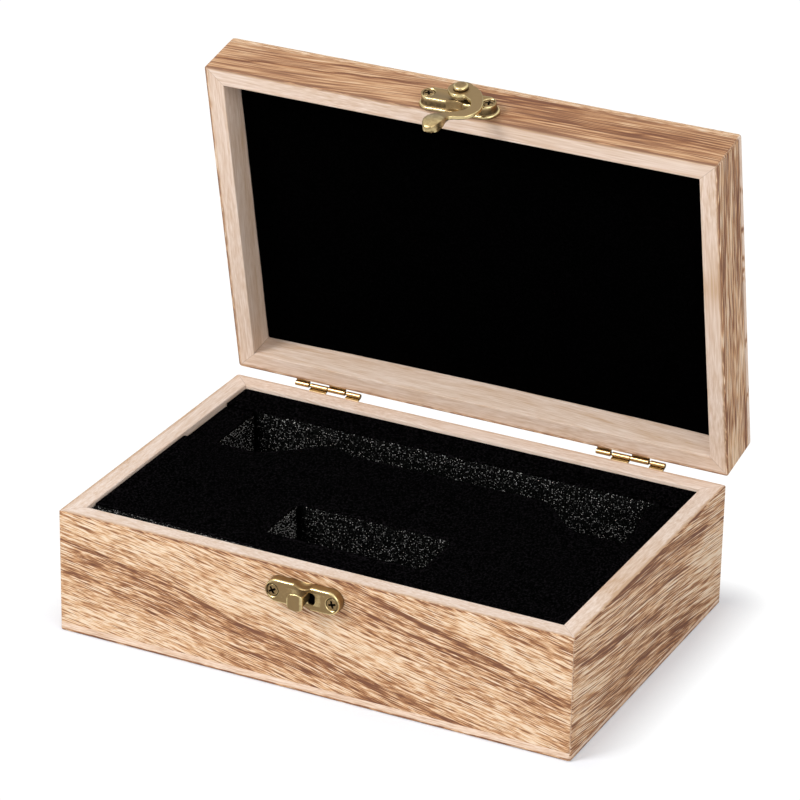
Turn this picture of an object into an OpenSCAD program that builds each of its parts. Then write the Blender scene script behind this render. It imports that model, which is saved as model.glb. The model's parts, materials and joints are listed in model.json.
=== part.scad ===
// Wooden watch box: mitred paulownia box and lid, brass hook latch, two small butt hinges,
// black velvet foam insert and a velvet pad in the lid.
// Origin: centre of the underside. +X to the right, +Y to the hinge side, +Z up. Millimetres.

/* [Box] */
// Outside width of the box, left to right
box_w = 200; // [150:1:260]
// Outside depth of the box, front to back
box_d = 132; // [110:1:180]
// Height of the base, from the table to its rim
base_h = 47.2; // [40:0.1:80]
// Thickness of the four boards of the base
base_wall = 7.4; // [6.5:0.1:10]
// Thickness of the panel under the base
bottom_t = 3; // [2:0.1:5]
// Radius of the upright outside corners
corner_r = 1; // [0.5:0.1:3]

/* [Lid] */
// Height of the lid, rim to top
lid_h = 22.8; // [19:0.1:40]
// Thickness of the four rails of the lid
lid_wall = 7; // [6.2:0.1:10]
// Thickness of the top panel
top_t = 4; // [3:0.1:6]
// Rounding of the top panel's outer edges
top_round = 2.4; // [0.5:0.1:2.8]
// Gap between the rims when the lid is closed
rim_gap = 0.3; // [0.2:0.05:1]
// Angle at which the lid stands open, from closed
lid_open = 78.4; // [0:0.1:120]

/* [Lid pad] */
// Depth of the pad's velvet face below the lid's rim
pad_depth = 11.3; // [6:0.1:12]
// Thickness of the velvet everywhere
velvet_t = 0.6; // [0.4:0.1:1]
// Gap round the foam pieces
foam_gap = 0.2; // [0.1:0.05:0.4]

/* [Insert] */
// Thickness of the foam floor under the insert blocks
floor_t = 12; // [6:0.5:16]
// Top of the front block below the rim
front_drop = 0.8; // [0.5:0.1:3]
// Top of the back bar below the rim
back_drop = 1.2; // [0.5:0.1:3]
// Top of the two end blocks below the rim
end_drop = 2.2; // [0.5:0.1:4]
// Front edge of the long pocket at its left end, behind the box's middle
pocket_left_y = 11; // [5:0.5:18]
// Front edge of the long pocket at its right end
pocket_right_y = 8; // [5:0.5:18]
// Front edge of the long pocket along its narrow middle
pocket_mid_y = 25; // [20:0.5:30]
// Extra step of that edge where the narrow middle starts, at the left
pocket_step = 3; // [0:0.5:4]
// Back edge of the long pocket
pocket_back_y = 43; // [38:0.5:46]
// Length of the left end block, from the board to the pocket
left_block_w = 12.4; // [8:0.1:18]
// Length of the right end block at the back
right_block_w = 12.4; // [8:0.1:18]
// How much shorter the right end block is at the front
right_block_slant = 5; // [0:0.5:6]
// Left end, right end, front and back of the small pocket
small_x0 = -29; // [-40:0.5:-20]
// Right end of the small pocket
small_x1 = 32; // [20:0.5:40]
// Front of the small pocket
small_y0 = -44; // [-50:0.5:-38]
// Back of the small pocket
small_y1 = -19; // [-30:0.5:-12]
// Depth of the small pocket
small_deep = 22; // [10:0.5:25]
// Corner radius of the small pocket
small_r = 2; // [1:0.5:5]
// Width of the raw foam strip that the velvet leaves bare at the front left corner
bare_strip = 4; // [1:0.5:6]
// Length of that strip, along the front board
bare_len = 75; // [40:1:90]

/* [Latch plates] */
// Length of the lid's plate, over its flange
latch_len = 30.4; // [28.5:0.1:34]
// Height of the lid's plate, over its flange
latch_w = 9.8; // [9:0.1:11]
// Width of its flange, which lies on the wood
latch_flange = 1; // [0.2:0.1:1.4]
// Length of the catch plate
catch_len = 29.2; // [27:0.1:34]
// Height of the catch plate
catch_w = 9; // [8.4:0.1:11]
// Width of its flange
catch_flange = 0.2; // [0.1:0.1:0.6]
// Thickness of the flanges
flange_t = 1.2; // [0.8:0.1:1.6]
// Thickness of the stamped sheet
sheet_t = 0.8; // [0.6:0.05:1]
// Depth of the notch in the middle of each long side
waist_cut = 1.1; // [0.4:0.1:1.2]
// Radius of that notch
waist_r = 5; // [4:0.5:8]
// Distance of each screw from the plate's middle
screw_dx = 11.6; // [10.5:0.1:12]
// Depth of the lid's plate, wood to face
latch_deep = 4.5; // [4.2:0.1:5]
// Sideways place of the lid's plate
latch_x = 0.1; // [-5:0.1:5]
// Height of the lid's plate above the lid's rim, to its middle
latch_up = 4.9; // [4.7:0.1:8]
// Depth of the catch plate, wood to face
catch_deep = 3.7; // [3.5:0.1:4.2]
// Sideways place of the catch plate
catch_x = -0.9; // [-5:0.1:5]
// Middle of the catch plate below the base's rim
catch_down = 8.1; // [7.5:0.1:9]

/* [Hook] */
// Pivot of the hook, to the right of the lid's plate's middle
pivot_dx = 0.4; // [-1:0.1:1]
// Pivot of the hook, above the lid's plate's middle
pivot_up = 0.9; // [0:0.1:1.5]
// Radius of the rivet's shank
rivet_r = 1.5; // [1.2:0.05:1.8]
// Clearance between the rivet and the hook's bore
pivot_clear = 0.06; // [0.02:0.01:0.1]
// Radius of the rivet's head
rivet_head_r = 2.8; // [2.4:0.1:3.4]
// Height of the rivet's head
rivet_head_h = 1.7; // [0.8:0.1:2]
// Thickness of the hook
hook_t = 1.5; // [1.2:0.1:1.6]
// Height of the boss that carries the hook, above the lid's plate
boss_h = 1.4; // [1:0.1:1.8]
// Radius of the boss
boss_r = 3.4; // [2.5:0.1:4]
// Gap in front of and behind the hook
hook_gap = 0.1; // [0.05:0.05:0.2]
// Radius of the hook's ring
ring_r = 4.7; // [4.2:0.1:5]
// Angle of the hook from its drawn position, positive swings the tail to the right
hook_turn = 0; // [-10:1:70]
// Outside radius of the hook's crescent
arm_r = 7.5; // [7:0.1:7.8]
// Inside radius of the hook's crescent
throat_r = 5; // [4.6:0.1:5.4]
// Length of the thumb piece
thumb_len = 10.4; // [8:0.1:11]
// Width of the thumb piece
thumb_w = 8.6; // [7:0.1:9]
// Rise of the thumb piece's crown in front of the hook's face
thumb_rise = 1.9; // [0.8:0.1:2.1]

/* [Catch post] */
// Thickness of the bent tab
tab_t = 0.85; // [0.6:0.05:1]
// Height of the tab's stem
stem_h = 2.2; // [1.6:0.1:2.4]
// Stem's middle above the catch plate's middle
stem_up = 0.7; // [0.2:0.1:1]
// Stem's right face, to the right of the catch plate's middle
stem_x = 2.6; // [1.5:0.1:3]
// Width of the tab's head
head_w = 6; // [4.5:0.1:6.5]
// Height of the tab's head
head_h = 6.6; // [5.5:0.1:6.8]
// Width of the window beside the stem
window_w = 3; // [2:0.1:3.2]
// Height of the window
window_h = 4.4; // [3:0.1:5]

/* [Hinges] */
// Distance of each hinge's middle from its end of the box
hinge_inset = 38; // [25:0.5:50]
// Sideways shift of the pair of hinges from the box's middle
hinge_shift = -0.6; // [-4:0.1:4]
// Hinge axis behind the back boards
axis_back = 2.3; // [2:0.05:3]
// Hinge axis above the base's rim
axis_up = 0.8; // [0.3:0.05:1.2]
// Radius of the barrel
barrel_r = 1.15; // [1:0.05:1.4]
// Radius of the hinge pin
pin_r = 0.6; // [0.4:0.05:0.7]
// Length of each of the four knuckles
knuckle_len = 5.7; // [5:0.1:7]
// Wide gap, where the pin shows between two knuckles
wide_gap = 2.1; // [0.6:0.1:2.4]
// Narrow gap between the two middle knuckles
narrow_gap = 0.3; // [0.2:0.05:0.5]
// Height of each leaf on its board
leaf_h = 9; // [8:0.1:12]
// Thickness of each leaf
leaf_t = 0.8; // [0.6:0.05:1]

/* [Screws] */
// Radius of the screws' shanks
screw_r = 1; // [0.8:0.05:1.2]
// Radius of the plate screws' heads
plate_head_r = 2.1; // [1.8:0.1:2.4]
// Radius of the hinge screws' heads
hinge_head_r = 1.7; // [1.4:0.1:2]
// Height of every screw head
screw_head_h = 0.7; // [0.5:0.1:1]
// How deep the screws go into the wood
screw_bite = 5; // [3:0.1:5.5]

/* [Hidden] */
$fn = 64;
eps = 0.02;
hole_clear = 0.03;
rim_z = base_h + rim_gap;
hinge_y = box_d / 2 + axis_back;
left_x = hinge_shift + hinge_inset - box_w / 2;
right_x = hinge_shift - hinge_inset + box_w / 2;
hinge_z = base_h + axis_up;
pin_clear = 0.05;
hinge_len = 4 * knuckle_len + 2 * wide_gap + narrow_gap;
knuckle_clear = 0.35;
leaf_screw_dx = hinge_len / 2 - 4.5;
leaf_screw_z = 5.6;
insert_z = bottom_t + floor_t;
inner_w = box_w - 2 * base_wall - 2 * foam_gap;
inner_d = box_d - 2 * base_wall - 2 * foam_gap;
lid_inner_w = box_w - 2 * lid_wall - 2 * foam_gap;
lid_inner_d = box_d - 2 * lid_wall - 2 * foam_gap;
left_edge = -inner_w / 2 + left_block_w;
right_edge = inner_w / 2 - right_block_w;
pocket_rise_x0 = -65;
pocket_rise_x1 = -38;
pocket_fall_x0 = 45;
pocket_fall_x1 = 68;
pilot_tip = 1.2;
clinch_r = rivet_r + 0.7;
hook_z0 = latch_deep + boss_h + hook_gap;
hook_face = hook_z0 + hook_t;
pivot = [latch_x + pivot_dx, latch_up + pivot_up];
arm_c = [4, -9.8];
throat_c = [2.9, -9.7];
thumb_c = [0.6, -23.6];
jaw_in = throat_c + throat_r * [cos(62), -sin(62)];
jaw_out = arm_c + arm_r * [cos(80), -sin(80)];
neck_l = thumb_c + [-thumb_w * 0.34, thumb_len * 0.4];
head_back = hook_face + 0.3;
curve_steps = 12;

// Colours, as the pieces look
torched_wood = "#c79a72";
raw_wood = "#e6cbb4";
velvet_black = "#0c0c0e";
foam_black = "#1b1b1d";
antique_brass = "#8f7f4c";
bright_brass = "#c9a24a";
screw_brass = "#9a8a58";

// Turns what is drawn for the closed lid to where the open lid stands
module on_open_lid() {
    translate([0, hinge_y, hinge_z])
        rotate([-lid_open, 0, 0])
            translate([0, -hinge_y, -hinge_z])
                children();
}

// Puts what is drawn flat, face up, on the front of the base or of the closed lid
module on_front(x, z) {
    translate([x, -box_d / 2, z])
        rotate([90, 0, 0])
            children();
}

// Puts what is drawn flat, face up, on the back of the base or of the closed lid
module on_back(x, z) {
    translate([x, box_d / 2, z])
        rotate([90, 0, 180])
            children();
}

// Rectangle round its middle with round corners
module round_rect(w, d, r) {
    square([w - 2 * r, d], center = true);
    square([w, d - 2 * r], center = true);
    for (sx = [-1, 1], sy = [-1, 1])
        translate([sx * (w / 2 - r), sy * (d / 2 - r)])
            circle(r);
}

// Two straight sides and two half round ends
module stadium(len, w) {
    square([len - w, w], center = true);
    for (s = [-1, 1])
        translate([s * (len - w) / 2, 0])
            circle(d = w);
}

// Plan of one wall of a mitred frame: 0 front, 1 right, 2 back, 3 left
module mitred_wall(w, d, wall, side) {
    o = [[-w / 2, -d / 2], [w / 2, -d / 2], [w / 2, d / 2], [-w / 2, d / 2]];
    i = [[-w / 2 + wall, -d / 2 + wall], [w / 2 - wall, -d / 2 + wall],
         [w / 2 - wall, d / 2 - wall], [-w / 2 + wall, d / 2 - wall]];
    next = (side + 1) % 4;
    intersection() {
        round_rect(w, d, corner_r);
        polygon([o[side], o[next], i[next], i[side]]);
    }
}

module base_wall_board(side) {
    translate([0, 0, bottom_t])
        linear_extrude(base_h - bottom_t)
            mitred_wall(box_w, box_d, base_wall, side);
}

module lid_wall_rail(side) {
    translate([0, 0, rim_z])
        linear_extrude(lid_h - top_t)
            mitred_wall(box_w, box_d, lid_wall, side);
}

// Screw pointing down -Z with the underside of its head at 0, in a plate of the given depth
module wood_screw(head_r, above) {
    len = above + screw_bite;
    difference() {
        union() {
            rotate_extrude()
                polygon([[0, -len], [screw_r * 0.3, -len], [screw_r, -len + pilot_tip],
                         [screw_r, -eps], [0, -eps]]);
            translate([0, 0, -eps])
                rotate_extrude()
                    intersection() {
                        translate([0, screw_head_h - head_r * 1.9])
                            circle(head_r * 1.9);
                        square([head_r, screw_head_h]);
                    }
        }
        for (a = [0, 90])
            rotate([0, 0, a])
                translate([-head_r * 0.62, -head_r * 0.13, screw_head_h * 0.25])
                    cube([head_r * 1.24, head_r * 0.26, screw_head_h]);
    }
}

// Hole in the wood for the screw above
module pilot_hole() {
    translate([0, 0, -screw_bite - hole_clear])
        cylinder(r = screw_r + hole_clear, h = screw_bite + 1);
}

// Plan of a stamped plate's raised part, with a notch in each long side, shrunk by inset
module plate_plan(len, w, inset) {
    difference() {
        stadium(len - 2 * inset, w - 2 * inset);
        for (s = [-1, 1])
            translate([0, s * (w / 2 + waist_r - waist_cut)])
                circle(waist_r + inset);
    }
}

// Stamped plate: a flange on the wood, and a hollow raised part with a screw hole at each end
module stamped_plate(len, w, flange, deep) {
    face_len = len - 2 * flange;
    face_w = w - 2 * flange;
    difference() {
        union() {
            linear_extrude(flange_t)
                stadium(len, w);
            linear_extrude(deep)
                plate_plan(face_len, face_w, 0);
            children(0);
        }
        translate([0, 0, -1])
            linear_extrude(deep - sheet_t + 1)
                plate_plan(face_len, face_w, sheet_t);
        for (s = [-1, 1])
            translate([s * screw_dx, 0, 0])
                cylinder(r = screw_r + hole_clear, h = deep + 1);
        children(1);
    }
}

module plate_screws(deep) {
    for (s = [-1, 1])
        translate([s * screw_dx, 0, deep + eps])
            wood_screw(plate_head_r, deep);
}

module plate_pilots() {
    for (s = [-1, 1])
        translate([s * screw_dx, 0, 0])
            pilot_hole();
}

// Bent tab of the catch: a stem out of the plate's face and a round head in front of the hook
module catch_tab() {
    translate([stem_x - tab_t, stem_up - stem_h / 2, catch_deep - sheet_t])
        cube([tab_t, stem_h, head_back + tab_t - catch_deep + sheet_t]);
    translate([stem_x - head_w / 2, 0, head_back])
        linear_extrude(tab_t)
            round_rect(head_w, head_h, head_w / 2 - 0.1);
}

module catch_window() {
    translate([stem_x + window_w / 2, stem_up - 0.5, catch_deep - sheet_t - 1])
        linear_extrude(sheet_t + 2)
            round_rect(window_w, window_h, 1.2);
}

module catch_plate() {
    color(antique_brass)
        on_front(catch_x, base_h - catch_down)
            stamped_plate(catch_len, catch_w, catch_flange, catch_deep) {
                catch_tab();
                catch_window();
            }
}

module catch_screws() {
    color(screw_brass)
        on_front(catch_x, base_h - catch_down)
            plate_screws(catch_deep);
}

module latch_boss() {
    translate([pivot_dx, pivot_up, latch_deep - sheet_t])
        cylinder(r = boss_r, h = boss_h + sheet_t);
}

module rivet_hole() {
    translate([pivot_dx, pivot_up, latch_deep - sheet_t - eps]) {
        cylinder(r = clinch_r + hole_clear, h = sheet_t + 2 * eps);
        cylinder(r = rivet_r + hole_clear, h = sheet_t + boss_h + 1);
    }
}

module latch_plate() {
    color(antique_brass)
        on_open_lid()
            on_front(latch_x, rim_z + latch_up)
                stamped_plate(latch_len, latch_w, latch_flange, latch_deep) {
                    latch_boss();
                    rivet_hole();
                }
}

module latch_screws() {
    color(screw_brass)
        on_open_lid()
            on_front(latch_x, rim_z + latch_up)
                plate_screws(latch_deep);
}

// Rivet: clinched end sunk in the back of the boss, shank, and a domed head in front of the hook
module latch_rivet() {
    inside = latch_deep - sheet_t;
    head = hook_face + hook_gap;
    dome = (rivet_head_r * rivet_head_r + rivet_head_h * rivet_head_h) / (2 * rivet_head_h);
    color(antique_brass)
        on_open_lid()
            on_front(pivot[0], rim_z + pivot[1]) {
                translate([0, 0, inside])
                    cylinder(r = clinch_r, h = sheet_t);
                translate([0, 0, inside])
                    cylinder(r = rivet_r, h = head + eps - inside);
                translate([0, 0, head])
                    rotate_extrude()
                        intersection() {
                            translate([0, rivet_head_h - dome])
                                circle(dome);
                            square([rivet_head_r, rivet_head_h]);
                        }
            }
}

// Unit vector at a right angle to the line between the ring and the crescent, on the outer side
function arm_normal() =
    let (l = norm(arm_c), u = arm_c / l, s = (arm_r - ring_r) / l, c = sqrt(1 - s * s))
    [-u[1] * c - u[0] * s, u[0] * c - u[1] * s];

// Plan of the hook: ring, wedge to the crescent, crescent with its open mouth, and the neck
module hook_plan() {
    n = arm_normal();
    difference() {
        union() {
            polygon([[0, 0], n * ring_r, arm_c + n * arm_r, arm_c]);
            translate(arm_c)
                circle(arm_r);
        }
        translate(throat_c)
            circle(throat_r);
        polygon([[throat_c[0], -ring_r + 0.8], [-ring_r, -ring_r + 0.8], [-ring_r, neck_l[1]],
                 neck_l, jaw_in, throat_c]);
    }
    circle(ring_r);
    polygon([jaw_in, jaw_out, thumb_c + [thumb_w * 0.44, thumb_len * 0.2],
             thumb_c + [-thumb_w * 0.4, thumb_len * 0.25], neck_l]);
}

module latch_hook() {
    color(antique_brass)
        on_open_lid()
            on_front(pivot[0], rim_z + pivot[1])
                rotate([0, 0, hook_turn])
                    difference() {
                        union() {
                            translate([0, 0, hook_z0])
                                linear_extrude(hook_t)
                                    hook_plan();
                            translate([thumb_c[0], thumb_c[1], hook_face - 0.2])
                                scale([thumb_w / 2, thumb_len / 2, thumb_rise + 0.2])
                                    sphere(1, $fn = 40);
                        }
                        translate([0, 0, hook_z0 - 1])
                            cylinder(r = rivet_r + pivot_clear, h = hook_t + 2);
                    }
}

// Left end of each knuckle, counted from the hinge's left end
function knuckle_x(i) =
    i * knuckle_len + (i > 0 ? wide_gap : 0) + (i > 1 ? narrow_gap : 0) + (i > 2 ? wide_gap : 0)
    - hinge_len / 2;

// One hinge leaf drawn on a back board with the axis at the origin: x along, y up from the axis,
// z out of the board, so that the board's face is at z = -axis_back
module hinge_leaf(first) {
    own = [first, first + 2];
    other = [1 - first, 3 - first];
    board = -axis_back;
    difference() {
        union() {
            translate([-hinge_len / 2, -leaf_h - barrel_r, board])
                cube([hinge_len, leaf_h + barrel_r * 0.9, leaf_t]);
            for (i = own) {
                translate([knuckle_x(i), 0, 0])
                    rotate([0, 90, 0])
                        cylinder(r = barrel_r, h = knuckle_len);
                translate([knuckle_x(i), -barrel_r, board])
                    cube([knuckle_len, leaf_t, axis_back]);
            }
        }
        translate([-hinge_len / 2 - 1, 0, 0])
            rotate([0, 90, 0])
                cylinder(r = pin_r + (first == 0 ? hole_clear : pin_clear), h = hinge_len + 2);
        for (i = other)
            translate([knuckle_x(i) - knuckle_clear, -barrel_r - knuckle_clear, board - 1])
                cube([knuckle_len + 2 * knuckle_clear, 3 * barrel_r, axis_back + barrel_r + 2]);
        for (s = [-1, 1])
            translate([s * leaf_screw_dx, -leaf_screw_z, board - 1])
                cylinder(r = screw_r + hole_clear, h = leaf_t + 2);
    }
}

// The base leaf hangs down from the axis
module base_leaf(x) {
    color(bright_brass)
        translate([x, hinge_y, hinge_z])
            rotate([90, 0, 180])
                hinge_leaf(0);
}

// The lid leaf is the same leaf turned over, standing up from the axis
module lid_leaf(x) {
    color(bright_brass)
        on_open_lid()
            translate([x, hinge_y, hinge_z])
                rotate([90, 0, 180])
                    rotate([0, 0, 180])
                        mirror([1, 0, 0])
                            hinge_leaf(1);
}

module hinge_pin(x) {
    color(bright_brass)
        translate([x - hinge_len / 2, hinge_y, hinge_z])
            rotate([0, 90, 0])
                cylinder(r = pin_r, h = hinge_len);
}

module left_hinge_base_leaf() { base_leaf(left_x); }
module right_hinge_base_leaf() { base_leaf(right_x); }
module left_hinge_lid_leaf() { lid_leaf(left_x); }
module right_hinge_lid_leaf() { lid_leaf(right_x); }
module left_hinge_pin() { hinge_pin(left_x); }
module right_hinge_pin() { hinge_pin(right_x); }

// Calls its child at each of the four hinge screws of one leaf row: up is 1 on the lid, -1 on
// the base
module at_hinge_screws(up) {
    for (x = [left_x, right_x], s = [-1, 1])
        on_back(x + s * leaf_screw_dx, hinge_z + up * leaf_screw_z)
            children();
}

module base_hinge_screws() {
    color(bright_brass)
        at_hinge_screws(-1)
            translate([0, 0, leaf_t + eps])
                wood_screw(hinge_head_r, leaf_t);
}

module lid_hinge_screws() {
    color(bright_brass)
        on_open_lid()
            at_hinge_screws(1)
                translate([0, 0, leaf_t + eps])
                    wood_screw(hinge_head_r, leaf_t);
}

module base_bottom_panel() {
    color(raw_wood)
        linear_extrude(bottom_t)
            round_rect(box_w, box_d, corner_r);
}

module base_front_board() {
    color(torched_wood)
        difference() {
            base_wall_board(0);
            on_front(catch_x, base_h - catch_down)
                plate_pilots();
        }
}

module base_right_board() { color(torched_wood) base_wall_board(1); }
module base_left_board() { color(torched_wood) base_wall_board(3); }

module base_back_board() {
    color(torched_wood)
        difference() {
            base_wall_board(2);
            at_hinge_screws(-1)
                pilot_hole();
        }
}

module lid_front_rail() {
    color(torched_wood)
        on_open_lid()
            difference() {
                lid_wall_rail(0);
                on_front(latch_x, rim_z + latch_up)
                    plate_pilots();
            }
}

module lid_right_rail() { color(torched_wood) on_open_lid() lid_wall_rail(1); }
module lid_left_rail() { color(torched_wood) on_open_lid() lid_wall_rail(3); }

module lid_back_rail() {
    color(torched_wood)
        on_open_lid()
            difference() {
                lid_wall_rail(2);
                at_hinge_screws(1)
                    pilot_hole();
            }
}

// Rectangle standing on the X axis with round upper corners
module round_top(w, h, r) {
    translate([-w / 2, 0])
        square([w, h - r]);
    translate([-w / 2 + r, 0])
        square([w - 2 * r, h]);
    for (s = [-1, 1])
        translate([s * (w / 2 - r), h - r])
            circle(r);
}

module lid_top_panel() {
    color(torched_wood)
        on_open_lid()
            translate([0, 0, rim_z + lid_h - top_t])
                intersection() {
                    linear_extrude(top_t)
                        round_rect(box_w, box_d, corner_r);
                    translate([0, box_d / 2, 0])
                        rotate([90, 0, 0])
                            linear_extrude(box_d)
                                round_top(box_w, top_t, top_round);
                    translate([-box_w / 2, 0, 0])
                        rotate([90, 0, 90])
                            linear_extrude(box_w)
                                round_top(box_d, top_t, top_round);
                }
}

module lid_pad_velvet() {
    color(velvet_black)
        on_open_lid()
            translate([0, 0, rim_z + pad_depth])
                linear_extrude(velvet_t)
                    square([lid_inner_w, lid_inner_d], center = true);
}

module lid_pad_foam() {
    color(foam_black)
        on_open_lid()
            translate([0, 0, rim_z + pad_depth + velvet_t])
                linear_extrude(lid_h - top_t - pad_depth - velvet_t)
                    square([lid_inner_w, lid_inner_d], center = true);
}

// Smooth step from 0 to 1 as t goes from 0 to 1
function ease(t) = t * t * (3 - 2 * t);

// Wavy back edge of the front block, from right to left
function wavy_edge() = concat(
    [[inner_w / 2, pocket_right_y]],
    [for (i = [0:curve_steps])
        let (t = i / curve_steps)
        [pocket_fall_x1 + (pocket_fall_x0 - pocket_fall_x1) * t,
         pocket_right_y + (pocket_mid_y - pocket_right_y) * ease(t)]],
    [[pocket_rise_x1 + 8, pocket_mid_y]],
    [for (i = [0:curve_steps])
        let (t = i / curve_steps)
        [pocket_rise_x1 + (pocket_rise_x0 - pocket_rise_x1) * t,
         pocket_mid_y + pocket_step - (pocket_mid_y + pocket_step - pocket_left_y) * ease(t)]],
    [[-inner_w / 2, pocket_left_y]]
);

module front_plan() {
    polygon(concat([[-inner_w / 2, -inner_d / 2], [inner_w / 2, -inner_d / 2]], wavy_edge()));
}

module small_pocket_plan() {
    translate([(small_x0 + small_x1) / 2, (small_y0 + small_y1) / 2])
        round_rect(small_x1 - small_x0, small_y1 - small_y0, small_r);
}

// Foam of one insert block, from the floor to just under its velvet
module foam_block(drop) {
    translate([0, 0, insert_z])
        linear_extrude(base_h - drop - velvet_t - insert_z)
            children();
}

// Velvet on one insert block
module velvet_top(drop) {
    translate([0, 0, base_h - drop - velvet_t])
        linear_extrude(velvet_t)
            children();
}

module insert_front_block() {
    color(foam_black)
        difference() {
            foam_block(front_drop)
                front_plan();
            translate([0, 0, base_h - front_drop - small_deep])
                linear_extrude(small_deep)
                    small_pocket_plan();
        }
}

module insert_front_velvet() {
    color(velvet_black)
        velvet_top(front_drop)
            difference() {
                front_plan();
                small_pocket_plan();
                polygon([[-inner_w / 2 - 1, -inner_d / 2 - 1], [-inner_w / 2 + bare_len, -inner_d / 2 - 1],
                         [-inner_w / 2 + bare_len, -inner_d / 2], [-inner_w / 2, -inner_d / 2 + bare_strip],
                         [-inner_w / 2 - 1, -inner_d / 2 + bare_strip]]);
            }
}

module back_plan() {
    translate([-inner_w / 2, pocket_back_y])
        square([inner_w, inner_d / 2 - pocket_back_y]);
}

module left_plan() {
    translate([-inner_w / 2, pocket_left_y])
        square([left_block_w, pocket_back_y - pocket_left_y]);
}

module right_plan() {
    polygon([[inner_w / 2, pocket_right_y], [inner_w / 2, pocket_back_y],
             [right_edge, pocket_back_y], [right_edge + right_block_slant, pocket_right_y]]);
}

module insert_back_bar() { color(foam_black) foam_block(back_drop) back_plan(); }
module insert_back_velvet() { color(velvet_black) velvet_top(back_drop) back_plan(); }
module insert_left_block() { color(foam_black) foam_block(end_drop) left_plan(); }
module insert_left_velvet() { color(velvet_black) velvet_top(end_drop) left_plan(); }
module insert_right_block() { color(foam_black) foam_block(end_drop) right_plan(); }
module insert_right_velvet() { color(velvet_black) velvet_top(end_drop) right_plan(); }

module insert_floor() {
    color(foam_black)
        translate([-inner_w / 2, -inner_d / 2, bottom_t])
            cube([inner_w, inner_d, floor_t]);
}

base_bottom_panel();
base_front_board();
base_back_board();
base_left_board();
base_right_board();
insert_floor();
insert_front_block();
insert_front_velvet();
insert_back_bar();
insert_back_velvet();
insert_left_block();
insert_left_velvet();
insert_right_block();
insert_right_velvet();
catch_plate();
catch_screws();
left_hinge_base_leaf();
right_hinge_base_leaf();
left_hinge_pin();
right_hinge_pin();
base_hinge_screws();
lid_top_panel();
lid_front_rail();
lid_back_rail();
lid_left_rail();
lid_right_rail();
lid_pad_foam();
lid_pad_velvet();
latch_plate();
latch_screws();
latch_rivet();
left_hinge_lid_leaf();
right_hinge_lid_leaf();
lid_hinge_screws();
latch_hook();
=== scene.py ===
"""Wooden watch box with a hook latch and a black velvet insert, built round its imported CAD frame.

Lengths are in millimetres in the shape functions and turn to metres where a mesh is written.
"""

import json

import bmesh
import bpy
import numpy as np
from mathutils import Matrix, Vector
from mathutils.geometry import tessellate_polygon


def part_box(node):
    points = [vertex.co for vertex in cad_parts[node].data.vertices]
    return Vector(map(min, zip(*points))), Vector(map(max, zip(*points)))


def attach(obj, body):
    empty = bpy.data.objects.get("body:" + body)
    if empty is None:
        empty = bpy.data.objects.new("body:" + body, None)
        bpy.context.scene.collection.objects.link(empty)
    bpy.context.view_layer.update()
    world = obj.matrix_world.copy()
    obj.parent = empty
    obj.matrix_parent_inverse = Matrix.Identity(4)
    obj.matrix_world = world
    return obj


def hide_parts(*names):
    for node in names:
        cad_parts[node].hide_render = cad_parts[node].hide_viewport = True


bl_info = {
    "name": "Wooden Watch Box",
    "version": (1, 0, 0),
    "blender": (4, 5, 0),
    "location": "View3D > Sidebar > Watch Box",
    "description": "Mitred paulownia box with brass latch and hinges, and a velvet faced foam insert",
    "category": "Object",
}

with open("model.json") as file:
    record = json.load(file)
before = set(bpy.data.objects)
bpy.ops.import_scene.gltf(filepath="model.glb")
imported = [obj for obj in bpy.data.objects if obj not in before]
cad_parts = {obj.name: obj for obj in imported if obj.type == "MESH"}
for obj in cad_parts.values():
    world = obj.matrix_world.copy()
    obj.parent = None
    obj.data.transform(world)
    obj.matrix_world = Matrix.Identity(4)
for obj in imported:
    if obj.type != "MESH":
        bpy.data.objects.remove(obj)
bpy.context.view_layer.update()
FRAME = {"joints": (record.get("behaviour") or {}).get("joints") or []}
MM = 0.001
TAU = 2 * np.pi


def node_box(name):
    """Lowest and highest corner of a CAD node, in millimetres."""
    return [np.array(corner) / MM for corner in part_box(name)]


PANEL_LO, PANEL_HI = node_box("base_bottom_panel")
BOARD_LO, BOARD_HI = node_box("base_front_board")
LID_JOINT = next(joint for joint in FRAME["joints"] if joint["name"] == "lid_hinge")
HINGE_Y, HINGE_Z = (value / MM for value in LID_JOINT["pos_m"][1:])
LID_OPEN = np.radians(-LID_JOINT["range_deg"][0])

# Box, all from part.scad
BOX_W = PANEL_HI[0] - PANEL_LO[0]
BOX_D = PANEL_HI[1] - PANEL_LO[1]
BASE_H = BOARD_HI[2]
BOTTOM_T = BOARD_LO[2]
BASE_WALL = BOARD_HI[1] - BOARD_LO[1]
RIM_GAP = 0.3
RIM_Z = BASE_H + RIM_GAP
LID_H = 22.8
LID_TOP = RIM_Z + LID_H
LID_WALL = 7.0
TOP_T = 4.0
TOP_ROUND = 2.4
CORNER_ROUND = 1.0
PAD_DEEP = 11.3
FOAM_GAP = 0.2
INNER_W = BOX_W - 2 * BASE_WALL - 2 * FOAM_GAP
INNER_D = BOX_D - 2 * BASE_WALL - 2 * FOAM_GAP
LID_INNER_W = BOX_W - 2 * LID_WALL - 2 * FOAM_GAP
LID_INNER_D = BOX_D - 2 * LID_WALL - 2 * FOAM_GAP
VELVET_T = 0.6

SIDES = ("front", "right", "back", "left")
X_WAY, Y_WAY, Z_WAY = np.eye(3)
# Turns by 0, 90, 180 and 270 degrees of points in rows
QUARTER_TURNS = [np.linalg.matrix_power(np.array([[0, 1], [-1, 0]]), k) for k in range(4)]


def linear(code):
    """Linear colour of an sRGB hex value such as #C79A72."""
    value = np.array([int(code[i : i + 2], 16) for i in (1, 3, 5)]) / 255
    value = np.where(value <= 0.04045, value / 12.92, ((value + 0.055) / 1.055) ** 2.4)
    return (*value.tolist(), 1.0)


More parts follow.
